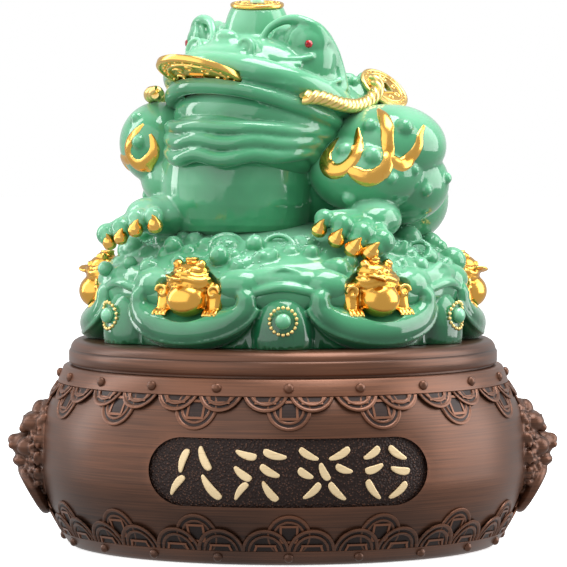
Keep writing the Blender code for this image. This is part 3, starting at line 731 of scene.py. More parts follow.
class ToadSizes(bpy.types.PropertyGroup):
    casting_detail: FloatProperty(
        name="Casting detail",
        description="Size of the finest form on the green casting",
        default=1.0 * MM,
        min=0.8 * MM,
        subtype="DISTANCE",
        unit="LENGTH",
    )
    gold_detail: FloatProperty(
        name="Gold detail",
        description="Size of the finest form on the small gold toads and on the lion masks",
        default=0.75 * MM,
        min=0.5 * MM,
        subtype="DISTANCE",
        unit="LENGTH",
    )
    rivets: IntProperty(name="Rivets", description="Rivets round each band of the bowl", default=20, min=4)
    lace_coins: IntProperty(
        name="Lace coins", description="Whole coins in each row of the bowl's lace", default=16, min=8
    )
    rivet_width: FloatProperty(
        name="Rivet width",
        description="Across the head of a rivet",
        default=6.2 * MM,
        subtype="DISTANCE",
        unit="LENGTH",
    )
    grain_width: FloatProperty(
        name="Grain width",
        description="Across one of the fine beads strewn over the heap",
        default=1.5 * MM,
        subtype="DISTANCE",
        unit="LENGTH",
    )
    grains: IntProperty(name="Grains", description="Fine beads strewn over the heap", default=3600, min=0)


class ToadColours(bpy.types.PropertyGroup):
    jade: FloatVectorProperty(
        name="Jade", description="The resin's middle green", subtype="COLOR", default=srgb("#4a9e70")
    )
    # Deep jade is painted shade: the colour reached in creases, where the resin faces down and towards its
    # foot
    jade_deep_shade: FloatVectorProperty(
        name="Deep jade", description="Where the resin is thick", subtype="COLOR", default=srgb("#155c39")
    )
    # Pale jade is the clouds' colour and also painted light, where the resin faces up and on raised places
    jade_pale: FloatVectorProperty(
        name="Pale jade", description="The resin's clouds", subtype="COLOR", default=srgb("#93d4b1")
    )
    gold: FloatVectorProperty(name="Gold", description="The gold plate", subtype="COLOR",
                              default=srgb("#e8ac4c"))
    pale_gold: FloatVectorProperty(
        name="Pale gold", description="The rope and the shoulder coins", subtype="COLOR",
        default=srgb("#d8ac5c")
    )
    bronze: FloatVectorProperty(
        name="Bronze", description="The bowl's brown lacquer", subtype="COLOR", default=srgb("#523526")
    )
    # Dark bronze is also the painted shade towards the bowl's foot
    bronze_dark: FloatVectorProperty(
        name="Dark bronze", description="The lacquer in hollows", subtype="COLOR", default=srgb("#251711")
    )
    lettering: FloatVectorProperty(
        name="Panel strokes", description="The strokes on the name panel", subtype="COLOR",
        default=srgb("#ecd3a6")
    )
    eyes: FloatVectorProperty(
        name="Eyes", description="The red stones of the eyes", subtype="COLOR", default=srgb("#c4081a")
    )


# Bowl


class MONEYTOAD_OT_bowl(bpy.types.Operator):
    """The open bowl, spun from its outline, with a sunk panel on its front"""

    bl_idname = "moneytoad.bowl"
    bl_label = "Treasure bowl"

    def execute(self, context):
        wall_rows = 36
        outer = [(0, 0), (FOOT_RADIUS, 0), (132.6, 0.6), (135, 2.4)]
        outer += [(bowl_radius(FOOT_Z) + BAND_RISE - 0.4, FOOT_Z - 0.6),
                  (bowl_radius(FOOT_Z) + BAND_RISE - 0.9, FOOT_Z)]
        for row in range(wall_rows + 1):
            height = FOOT_Z + 0.2 + (COLLAR_Z - FOOT_Z - 0.4) * row / wall_rows
            outer.append((bowl_radius(height), height))
        outer += [
            (bowl_radius(COLLAR_Z) + BAND_RISE - 0.7, COLLAR_Z),
            (bowl_radius(COLLAR_Z) + BAND_RISE, COLLAR_Z + 0.7),
            (RIM_RADIUS + 0.2, BOWL_HEIGHT - 0.6),
            (RIM_RADIUS - 0.6, BOWL_HEIGHT),
        ]
        inner = [(RIM_RADIUS - WALL, BOWL_HEIGHT), (RIM_RADIUS - WALL, COLLAR_Z + 3)]
        for height in (100, 88, 70, WIDEST_Z, 34, 22):
            inner.append((bowl_radius(height) - WALL, height))
        inner += [(124, 11), (118, FLOOR), (0, FLOOR)]
        bowl = lathed("treasure_bowl_finish", outer + inner, 240)
        carved(bowl, self.panel_cutter())
        finished(bowl, "Bronze lacquer on resin", "bronze_finish", "treasure_bowl")
        bowl.data.materials.append(finish("Pebbled bronze ground"))
        for face in bowl.data.polygons:
            x, y, z = face.center / MM
            sunk = bowl_radius(z) - math.hypot(x, y) > 0.8 * PANEL_DEPTH
            if y < 0 and sunk and math.hypot(x, y) > bowl_radius(z) - 0.6 * WALL and abs(z - PANEL_Z) < 21:
                face.material_index = 1
        smooth_shaded(bowl)
        return {"FINISHED"}

    def panel_cutter(self):
        """A plate with round ends, hollowed behind so that its floor follows the bowl's belly."""
        straight = PANEL_HALF_LENGTH - PANEL_HALF_HEIGHT
        upright = Matrix.Rotation(math.pi / 2, 4, "X")
        middle = BOWL_RADIUS - 20
        plates = [box((2 * straight, 60, 2 * PANEL_HALF_HEIGHT), at(0, -middle, PANEL_Z))]
        for side in (1, -1):
            deselect()
            bpy.ops.mesh.primitive_cylinder_add(
                vertices=64, radius=PANEL_HALF_HEIGHT * MM, depth=60 * MM, calc_uvs=False
            )
            end = bpy.context.object
            end.matrix_world = at(side * straight, -middle, PANEL_Z) @ upright
            set_down(end)
            plates.append(end)
        plate = plates[0]
        for end in plates[1:]:
            carved(plate, end, "UNION")
        low, high = PANEL_Z - 1.4 * PANEL_HALF_HEIGHT, PANEL_Z + 1.4 * PANEL_HALF_HEIGHT
        rows = 20
        floor = [(0, low)]
        for row in range(rows + 1):
            height = low + (high - low) * row / rows
            floor.append((bowl_radius(height) - PANEL_DEPTH, height))
        floor.append((0, high))
        carved(plate, lathed("panel_floor", floor, 240))
        return plate


class MONEYTOAD_OT_lace(bpy.types.Operator):
    """Two rows of coin lace, under the collar and above the foot"""

    bl_idname = "moneytoad.lace"
    bl_label = "Coin lace"

    def execute(self, context):
        count = context.scene.toad_sizes.lace_coins
        upper = self.sector(*UPPER_TIPS, 1, count)
        lower = self.sector(*LOWER_TIPS, -1, count)
        for name, (sector, grounds) in (("upper", upper), ("lower", lower)):
            lines = ring_of(joined(sector, "sector"), count, f"coin_lace_{name}")
            smooth_shaded(lines, 50)
            finished(lines, "Bronze lacquer on resin", "bronze_finish")
            field = ring_of(joined(grounds, "ground"), count, f"coin_lace_ground_{name}")
            smooth_shaded(field, 50)
            finished(field, "Dark bronze ground", "bronze_finish")
        return {"FINISHED"}

    def sector(self, half_tip, big_tip, hangs, count):
        """One whole coin with its two half coins: the raised lines, and the sunk grounds between them."""
        reference = bowl_radius(half_tip)
        spacing = math.tau * reference / count
        flat = Matrix.Rotation(math.pi / 2, 4, "X")
        lines, grounds = [], []
        # The whole coin lies behind its two half coins
        coins = [(0, big_tip + hangs * BIG_COIN_RADIUS, BIG_COIN_RADIUS, 0.3)]
        for side in (-0.25, 0.25):
            coins.append((side * spacing, half_tip + hangs * HALF_COIN_RADIUS, HALF_COIN_RADIUS, 1.4))
        for x, z, radius, stand in coins:
            for size, thick in ((radius - 0.9, 1.15), (radius - 4.3, 0.95)):
                lines.append(ring(size, thick, at(x, -stand - 0.3, z) @ flat, 0.9, 40, 8))
            field = ball((0, 0, 0), radius - 0.9, place=Matrix(), segments=24, rings=16)
            # Flattened, but with points all over its front, so that it bends with the wall
            for vertex in field.data.vertices:
                vertex.co.y = max(-0.5 * MM, min(0.5 * MM, vertex.co.y))
            field.data.transform(at(x, -0.1 - 0.6 * stand, z))
            grounds.append(field)
        middle = coins[0][1] - hangs * 1.6
        for across, up in ((1, 0), (-1, 0), (0, 1), (0, -1)):
            size = (1.4, 1.4, 11) if across else (11, 1.4, 1.4)
            lines.append(box(size, at(across * 4.9, -0.9, middle + up * 4.9)))
        band_edge = COLLAR_Z if hangs > 0 else FOOT_Z
        for x, z, radius, stand in coins[1:]:
            lines.append(box((13, 1.5, 1.3), at(x, -stand - 0.2, band_edge - hangs * 3.1)))
            for side in (-1, 1):
                lean = at(x + side * 6.2, -stand - 0.2, band_edge - hangs * 1.5)
                lines.append(box((1.3, 1.5, 4.4), lean @ Matrix.Rotation(side * hangs * 0.4, 4, "Y")))
        for piece in lines + grounds:
            self.trim(piece, band_edge, hangs)
            laid_on_wall(piece, reference)
        return lines, grounds

    def trim(self, piece, band_edge, hangs):
        """Cuts away what would reach over the band that the coins hang from."""
        activate(piece)
        bpy.ops.object.mode_set(mode="EDIT")
        bpy.ops.mesh.select_all(action="SELECT")
        bpy.ops.mesh.bisect(
            plane_co=(0, 0, (band_edge + 0.3 * hangs) * MM),
            plane_no=(0, 0, hangs),
            clear_outer=True,
            use_fill=True,
        )
        bpy.ops.object.mode_set(mode="OBJECT")


class MONEYTOAD_OT_rivets(bpy.types.Operator):
    """Round rivet heads on the collar and on the foot band"""

    bl_idname = "moneytoad.rivets"
    bl_label = "Rivets"

    def execute(self, context):
        sizes = context.scene.toad_sizes
        head = sizes.rivet_width / MM / 2
        collar_middle = (COLLAR_Z + BOWL_HEIGHT) / 2
        collar_radius = (bowl_radius(COLLAR_Z) + BAND_RISE + RIM_RADIUS) / 2
        foot_middle = FOOT_Z / 2 + 0.6
        rows = []
        for radius, height, name in (
            (collar_radius + 0.2, collar_middle, "rivets_collar"),
            (136.9, foot_middle, "rivets_foot"),
        ):
            rivet = ball((0, -radius, height), (head, 0.8 * head, head), place=Matrix(), segments=16,
                         rings=10)
            rows.append(ring_of(joined([rivet], "rivet"), sizes.rivets, name))
        for row in rows:
            smooth_shaded(row)
            finished(row, "Bronze lacquer on resin", "bronze_finish")
        return {"FINISHED"}


class MONEYTOAD_OT_panel_strokes(bpy.types.Operator):
    """Four groups of raised brush dabs in the name panel, which spell nothing"""

    bl_idname = "moneytoad.panel_strokes"
    bl_label = "Panel strokes"

    # Each dab runs from (x, z) to (x, z) about its group's middle, with a width at its start and its end
    GROUPS = (
        (-57, ((-6, 12, -10, 1, 4.6, 3), (3, 14, 8, 3, 3.2, 5), (-9, -4, -16, -13, 4.8, 2.2),
               (5, -3, 14, -14, 3, 5.4))),
        (
            -18,
            (
                (-13, 13, -3, 10, 2.6, 4.8),
                (4, 13, 15, 10, 4.8, 2.8),
                (-14, 3, -6, -3, 3, 4.8),
                (2, 4, 11, -1, 4.8, 3),
                (-8, -7, -14, -15, 4.6, 2.2),
                (3, -6, 10, -15, 2.6, 5),
            ),
        ),
        (
            21.5,
            (
                (-14, 14, -5, 9, 4.6, 2.6),
                (4, 9, 14, 14, 2.6, 4.8),
                (-15, 2, -8, -2, 4.8, 2.8),
                (-2, 5, 2, -3, 3, 4.6),
                (8, 4, 16, 1, 4.6, 2.6),
                (-12, -14, -4, -7, 2.4, 4.8),
                (4, -7, 12, -15, 4.8, 2.6),
            ),
        ),
        (
            61,
            (
                (-14, 9, -6, 14, 2.6, 4.8),
                (3, 14, 12, 8, 4.8, 2.6),
                (-13, 1, -4, 4, 4.8, 2.8),
                (4, 2, 14, 0, 2.8, 4.8),
                (-12, -6, -5, -15, 4.8, 2.4),
                (3, -15, 12, -8, 2.6, 4.8),
            ),
        ),
    )

    def execute(self, context):
        dabs = []
        for middle, strokes in self.GROUPS:
            for x1, z1, x2, z2, first, last in strokes:
                dabs.append(self.dab(Vector((middle + x1, 0, z1)), Vector((middle + x2, 0, z2)), first, last))
        strokes = joined(dabs, "panel_strokes")
        smooth_shaded(strokes, 50)
        finished(strokes, "Brushed champagne enamel", "pale_gold")
        return {"FINISHED"}

    def dab(self, start, end, first, last):
        """A leaf-shaped plate, laid on the panel's floor and swelling or thinning along its length."""
        along = 1.3 * (end - start)
        middle = (start + end) / 2 + Vector((0, 0, PANEL_Z))
        turn = Matrix.Rotation(math.atan2(along.x, along.z), 4, "Y")
        length = along.length
        deselect()
        bpy.ops.mesh.primitive_cylinder_add(
            vertices=32, radius=MM, depth=1.4 * MM, rotation=(math.pi / 2, 0, 0), calc_uvs=False
        )
        made = bpy.context.object
        set_down(made)
        for vertex in made.data.vertices:
            share = (vertex.co.z / MM + 1) / 2
            width = first + (last - first) * share
            # Blunt, like a stroke of a loaded brush, and a little bowed
            round_x = math.copysign(abs(vertex.co.x / MM) ** 0.6, vertex.co.x) * MM
            bow = 0.07 * length * (1 - (vertex.co.z / MM) ** 2) * MM
            vertex.co.x = round_x * width * 0.6 + bow
            vertex.co.z = vertex.co.z * length / 2
        made.matrix_world = at(*middle) @ turn
        set_down(made)
        edge = made.modifiers.new("Edge", "BEVEL")
        edge.width = 0.3 * MM
        edge.segments = 2
        split = made.modifiers.new("Rows", "REMESH")
        split.mode = "VOXEL"
        split.voxel_size = 0.45 * MM
        apply_modifiers(made)
        made.data.transform(at(0, PANEL_DEPTH - 0.7, 0))
        laid_on_wall(made, BOWL_RADIUS)
        return made


class MONEYTOAD_OT_lid(bpy.types.Operator):
    """The lid: a rounded top edge, a fine step, an upright band, and a spigot in the bowl's mouth"""

    bl_idname = "moneytoad.lid"
    bl_label = "Lid"

    def execute(self, context):
        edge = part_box("bowl_lid")[1].x / MM
        outline = [(0, LID_TOP), (edge - 8, LID_TOP), (edge - 5.2, LID_TOP - 0.5), (edge - 3, LID_TOP - 1.8)]
        outline += [(edge - 1.6, LID_TOP - 3.8), (edge - 1, LID_TOP - 5.8), (edge - 1.1, LID_TOP - 6.3)]
        outline += [(edge - 0.5, LID_TOP - 6.9), (edge, LID_TOP - 7.8), (edge, LID_BOTTOM + 1)]
        outline += [(edge - 0.7, LID_BOTTOM), (131.5, LID_BOTTOM), (131.5, BOWL_HEIGHT + 0.3)]
        outline += [(127.5, BOWL_HEIGHT + 0.3), (127.5, BOWL_HEIGHT - 6), (0, BOWL_HEIGHT - 6)]
        lid = lathed("bowl_lid_finish", outline, 240)
        smooth_shaded(lid)
        finished(lid, "Bronze lacquer on resin", "bronze_finish", "bowl_lid")
        return {"FINISHED"}


class MONEYTOAD_OT_lion_masks(bpy.types.Operator):
    """A lion mask with a ring in its mouth on each side of the bowl"""

    bl_idname = "moneytoad.lion_masks"
    bl_label = "Lion masks"

    def execute(self, context):
        place = at(0, -BOWL_RADIUS, 64)
        parts = [ball((0, 4, -5), (25, 7, 31), place=place)]
        parts += pair((8, -4, 12), (8.5, 8, 6.5), place=place)
        parts += pair((9, -7, -3), (7, 8, 6.5), place=place)
        parts += pair((8.5, -10.5, 8.5), (3.4, 3.2, 3), place=place, segments=14, rings=10)
        parts += pair((3.4, -17.5, -2.5), (3, 3.2, 2.6), place=place, segments=14, rings=10)
        parts += pair((17, 3, 15), (5, 4, 4.6), place=place, segments=20, rings=14)
        parts += [
            ball((0, -10, -2), (9, 9, 8), place=place),
            ball((0, -16, 0.5), (4.6, 5, 4.2), place=place),
            ball((0, -11, -12), (8, 7, 4.5), place=place),
            ball((0, 0, 18), (7, 6, 8), place=place),
        ]
        curls = 14
        for row, (wide, tall, size, rise) in enumerate(((21, 25, 4.6, 0.5), (15, 19, 3.6, -3.5))):
            for step in range(curls):
                turn = math.tau * (step + 0.5 * row) / curls
                # The upper curls lean back to the wall, which draws in above its widest line
                back = rise + 5 * max(0, math.cos(turn)) ** 2
                centre = (wide * math.sin(turn), back, tall * math.cos(turn) - 3)
                parts.append(ball(centre, size, place=place, segments=14, rings=10))
                lock = [
                    (centre[0] + size * 0.7 * math.sin(t), back - size * 0.85,
                     centre[2] + size * 0.7 * math.cos(t))
                    for t in (0, 1.6, 3.2, 4.8)
                ]
                parts.append(tube(lock, (1, 1, 0.9, 0.7), place, sides=2, steps=3))
        for wide, tall, out, count in ((23.4, 28.6, -1.5, 34), (18, 22, -4.5, 26), (12.4, 14.5, -8, 18)):
            for step in range(count):
                turn = math.tau * step / count
                back = out + 5 * max(0, math.cos(turn)) ** 2
                spot = (wide * math.sin(turn), back, tall * math.cos(turn) - 4)
                parts.append(ball(spot, 1.7 + 0.4 * (step % 2), place=place, segments=12, rings=8))
        brow = [(x, -8 - 2 * math.cos(x / 5), 13 + 2.2 * math.cos(x / 3.2)) for x in range(-14, 15, 4)]
        parts.append(tube(brow, [1.6] * len(brow), place))
        hoop = []
        for step in range(16):
            turn = math.tau * step / 16
            hoop.append((13 * math.sin(turn), -4 - 7 * math.cos(turn), -30 + 12 * math.cos(turn)))
        parts.append(tube(hoop, [3.8] * len(hoop), place, closed=True))
        rim = [
            (24.5 * math.sin(turn), 3.2, 30 * math.cos(turn) - 5)
            for turn in [math.tau * step / 24 for step in range(24)]
        ]
        parts.append(tube(rim, [1.5] * len(rim), place, closed=True))
        detail = context.scene.toad_sizes.gold_detail / MM
        mask = fused(parts, "lion_mask", detail * 1.15, 2)
        for side, angle in (("left", math.pi / 2), ("right", -math.pi / 2)):
            piece = placed_copy(mask, Matrix.Rotation(angle, 4, "Z"))
            piece.name = piece.data.name = f"lion_mask_{side}_finish"
            finished(piece, "Bronze lacquer on resin", "bronze_finish", f"lion_mask_{side}")
        bpy.data.objects.remove(mask)
        return {"FINISHED"}


# Lotus base and heap


class MONEYTOAD_OT_lotus(bpy.types.Operator):
    """The lotus base: a drum, six cupped petals, and a column between each two"""

    bl_idname = "moneytoad.lotus"
    bl_label = "Lotus base"

    def execute(self, context):
        height = DRUM_TOP - LOTUS_BOTTOM + 20
        parts = [disc(DRUM_RADIUS, height, FIGURE @ at(0, 0, DRUM_TOP - height / 2), 96)]
        for number in range(PETALS):
            parts += self.petal((number + 0.5) * PETAL_STEP)
            parts += self.column(number * PETAL_STEP)
        lotus = fused(parts, "lotus_base", context.scene.toad_sizes.casting_detail / MM, share=CASTING_SHARE)
        carved(lotus, box((400, 400, 60), at(0, 0, LOTUS_BOTTOM - 30)))
        cut_toad_hollows(lotus)
        bpy.ops.object.shade_smooth()
        finished(lotus, "Cast jade resin", "jade_resin", "jade_figure")
        return {"FINISHED"}

    def petal(self, angle):
        """A rim that hangs like a U and curls in at its ends, with a fine ridge outside it."""
        steps = 16
        rim, sizes, ridge = [], [], []
        for step in range(steps + 1):
            swing = math.radians(-114 + 228 * step / steps)
            across = PETAL_HALF_WIDTH * math.sin(swing)
            height = PETAL_TOP - PETAL_DROP * math.cos(swing)
            rim.append(round_the_axis(PETAL_RADIUS, angle + across / PETAL_RADIUS, height))
            tip = min(1, 0.6 + 0.4 * min(step, steps - step))
            sizes.append(tip * (6.4 + 5.6 * max(0, math.cos(swing)) ** 1.3))
        for step in range(steps + 1):
            swing = math.radians(-84 + 168 * step / steps)
            across = (PETAL_HALF_WIDTH + 7.5) * math.sin(swing)
            height = PETAL_TOP - (PETAL_DROP + 6) * math.cos(swing)
            out = PETAL_RADIUS + 1.5 + 8 * max(0, math.cos(swing))
            ridge.append(round_the_axis(out, angle + across / PETAL_RADIUS, height))
        bed = ball((0, 12, 156), (36, 12, 24), place=FIGURE @ facing(angle, PETAL_RADIUS, 0))
        return [tube(rim, sizes, sides=12), tube(ridge, [1.7] * len(ridge)), bed]

    def column(self, angle):
        """The column between two petals, and the wave-shaped hem of the upper leaf over it."""
        place = FIGURE @ facing(angle, COLUMN_RADIUS, 0)
        parts = [
            ball((0, 15, 136), (19, 15, 26), place=place, segments=32, rings=20),
            ball((0, 22, 169.5), (30, 13.4, 9), place=place),
            ball((24, 21, 166), (18, 12, 11), place=place),
            ball((-24, 21, 166), (18, 12, 11), place=place),
        ]
        hem = ((0, 8.2, 166), (6, 8.6, 165.4), (14, 10.2, 163.4), (25, 13.5, 160.6), (36, 18, 158.5),
               (42, 26, 158))
        crest = ((0, 13, 177), (8, 13.4, 174.4), (16, 14.4, 170.6), (26, 17, 166.6), (38, 21, 163),
                 (44, 27, 162))
        for side in (1, -1):
            parts.append(tube([(side * x, y, z) for x, y, z in hem], (3.2, 3.2, 3.1, 3, 2.8, 2.2), place))
            parts.append(tube([(side * x, y, z) for x, y, z in crest], (2.4, 2.3, 2.2, 2, 1.8, 1.4), place))
        return parts


def cut_toad_hollows(obj):
    """The six smooth hollows that the small gold toads sit in, open towards the top."""
    for centre, radii in (((0, 0, 0), (25.5, 15.5, 21.5)), ((0, -1, 16), (20, 16, 26))):
        hollows = []
        for number in range(PETALS):
            place = FIGURE @ facing((number + 0.5) * PETAL_STEP, TOAD_SEAT + 16.5, TOAD_FEET_Z + 18.5)
            hollows.append(ball(centre, radii, place=place, segments=96, rings=56))
        carved(obj, joined(hollows, "toad_hollows"))


class MONEYTOAD_OT_heap(bpy.types.Operator):
    """The heap under the toad: beads, rings and boat-shaped ingots, strewn with fine grains"""

    bl_idname = "moneytoad.heap"
    bl_label = "Heap of treasure"

    # Beads that the viewer sees: x and z on the upright plane through the axis, and the radius
    SEEN_BEADS = (
        ((-83.1, 173.8), 7.4), ((-69.7, 186.9), 6.2), ((-62.5, 191.6), 5.6), ((-55.6, 190.3), 6.2),
        ((-35.6, 185.6), 9.4), ((-28.1, 173.8), 6.6), ((-24.1, 175.3), 5.4), ((10, 189), 5.2),
        ((15.6, 188.1), 6.6), ((35.9, 170.3), 8.2), ((30, 173.8), 5.2), ((79.7, 180.6), 6.4),
        ((74.4, 175.6), 5), ((93.1, 179.4), 5.6), ((102.5, 175.6), 5), ((-95.6, 183.8), 5.4),
        ((-103.1, 175.6), 5),
        ((-48.1, 186.3), 7), ((-41.2, 179.4), 6.4), ((-17.5, 187.5), 6), ((-9.4, 181.3), 5),
        ((5, 182.5), 5.6),
        ((19.4, 181.9), 5.2), ((-73.1, 181.9), 6.4), ((-85.6, 181.9), 6), ((-58.8, 183.1), 5.6),
        ((85.6, 175), 6),
        ((98.8, 185), 5.6), ((70, 185.6), 6), ((108.1, 181.3), 5), ((64.4, 176.3), 5.6), ((43.1, 175.6), 5),
        ((-65.6, 177.5), 5), ((-31.2, 180.6), 5), ((-89.4, 190.6), 5.4), ((-96.9, 175.6), 4.6),
        ((-111.9, 171.9), 5),
    )
    SEEN_RINGS = (((-2.8, 185.6), 9.6), ((-35.6, 185.6), 10.6), ((35.9, 170.3), 7.2), ((84.4, 183.1), 7))
    SEEN_INGOTS = (((-13.1, 177.5), -0.2), ((69.4, 181.9), -0.4))

    def execute(self, context):
        sizes = context.scene.toad_sizes
        rise = HEAP_TOP - HEAP_EDGE
        parts = [ball((0, 0, HEAP_EDGE), (HEAP_RADIUS, HEAP_RADIUS, rise), segments=160, rings=80)]
        golden_angle = math.pi * (3 - math.sqrt(5))
        for number in range(36):
            angle = number * golden_angle
            share = math.sqrt(0.3 + 0.6 * (number + 0.5) / 36)
            height = HEAP_EDGE + rise * math.sqrt(1 - share**2)
            centre = round_the_axis(HEAP_RADIUS * share, angle, height)
            if centre[1] > -40:
                parts.append(ball(centre, 7 + number % 3, segments=20, rings=14))
                out = Vector((math.sin(angle), -math.cos(angle), 1.1))
                if number % 3 == 0:
                    around = turned_to(out, Vector(centre) + out * 2)
                    parts.append(ring(7, 1.8, around, sides=28))
        for spot, radius in self.SEEN_BEADS:
            centre = seen_on(CAD_FIGURE, *spot, 0.35 * radius)
            parts.append(ball(centre, radius, segments=24, rings=16))
        for spot, radius in self.SEEN_RINGS:
            centre = seen_on(CAD_FIGURE, *spot, 0.12 * radius)
            parts.append(ring(radius, 1.7, turned_to((0, -0.75, 0.65), centre), sides=32))
        for spot, lean in self.SEEN_INGOTS:
            parts += self.ingot(seen_on(CAD_FIGURE, *spot, 1), lean)
        heap = fused(parts, "coin_heap", sizes.casting_detail / MM, share=CASTING_SHARE)
        carved(heap, box((400, 400, 60), at(0, 0, HEAP_EDGE - 28 - 20)))
        cut_toad_hollows(heap)
        bpy.ops.object.shade_smooth()
        finished(heap, "Cast jade resin", "jade_resin", "jade_figure")
        self.strew(solid_tree(heap.data), sizes)
        return {"FINISHED"}

    def ingot(self, centre, lean):
        """A boat-shaped ingot: a dome in a hull with two raised ends."""
        place = FIGURE @ at(*centre) @ Matrix.Rotation(lean, 4, "Y")
        hull = [(-10, 0, 4.5), (-6, 0, 0.5), (0, 0, -1), (6, 0, 0.5), (10, 0, 4.5)]
        return [
            tube(hull, (2, 3.8, 4.4, 3.8, 2), place, sides=4),
            ball((0, 0, 2.5), (4.6, 4.2, 4), place=place, segments=16, rings=12),
        ]

    def strew(self, tree, sizes):
        """Fine grains in drifts: each is a ball of twenty faces, dropped on to the heap from above."""
        deselect()
        bpy.ops.mesh.primitive_ico_sphere_add(
            subdivisions=1, radius=sizes.grain_width / 2, calc_uvs=False
        )
        grain = bpy.context.object
        draw = random.Random(5)
        grains = []
        for _ in range(sizes.grains):
            angle, share = math.tau * draw.random(), math.sqrt(draw.uniform(0.34, 0.94))
            drift = math.sin(5 * angle + 11 * share) + math.sin(9 * angle - 17 * share)
            if drift < 1.3 * draw.random():
                continue
            x, y, z = round_the_axis(HEAP_RADIUS * share, angle, 400)
            spot, _, _, _ = tree.ray_cast(FIGURE @ Vector((x, y, z)) * MM, Vector((0, 0, -1)))
            if spot is not None:
                grains.append(placed_copy(grain, Matrix.Translation(spot)))
        bpy.data.objects.remove(grain)
        strewn = joined(grains, "heap_grains")
        bpy.ops.object.shade_smooth()
        finished(strewn, "Cast jade resin", "jade_resin")


class MONEYTOAD_OT_medallions(bpy.types.Operator):
    """A pale pearl ringed with fine gold beads on each column of the lotus base"""

    bl_idname = "moneytoad.medallions"
    bl_label = "Pearl medallions"

    def execute(self, context):
        beads_round = 18
        reach = COLUMN_RADIUS + 0.9
        place = facing(0, reach, MEDALLION_Z)
        pearl = joined([ball((0, 0.6, 0), (4.8, 3.8, 4.8), place=place)], "pearl")
        beads = []
        for step in range(beads_round):
            turn = math.tau * step / beads_round
            across, up = 8.2 * math.sin(turn), 8.2 * math.cos(turn)
            # The column is round in plan and upright, so the ring of beads lies back on both sides
            back = across**2 / 24 + up**2 / 90
            beads.append(ball((across, back, up), 1.25, place=place, segments=10, rings=6))
        ring_beads = joined(beads, "beads")
        for piece, name, look, slot in (
            (pearl, "medallion_pearls", "Pale jade resin", "jade_resin"),
            (ring_beads, "medallion_beads", "Pale gold leaf", "pale_gold"),
        ):
            made = ring_of(piece, PETALS, name)
            made.data.transform(FIGURE)
            bpy.ops.object.shade_smooth()
            finished(made, look, slot)
        return {"FINISHED"}


# Toad


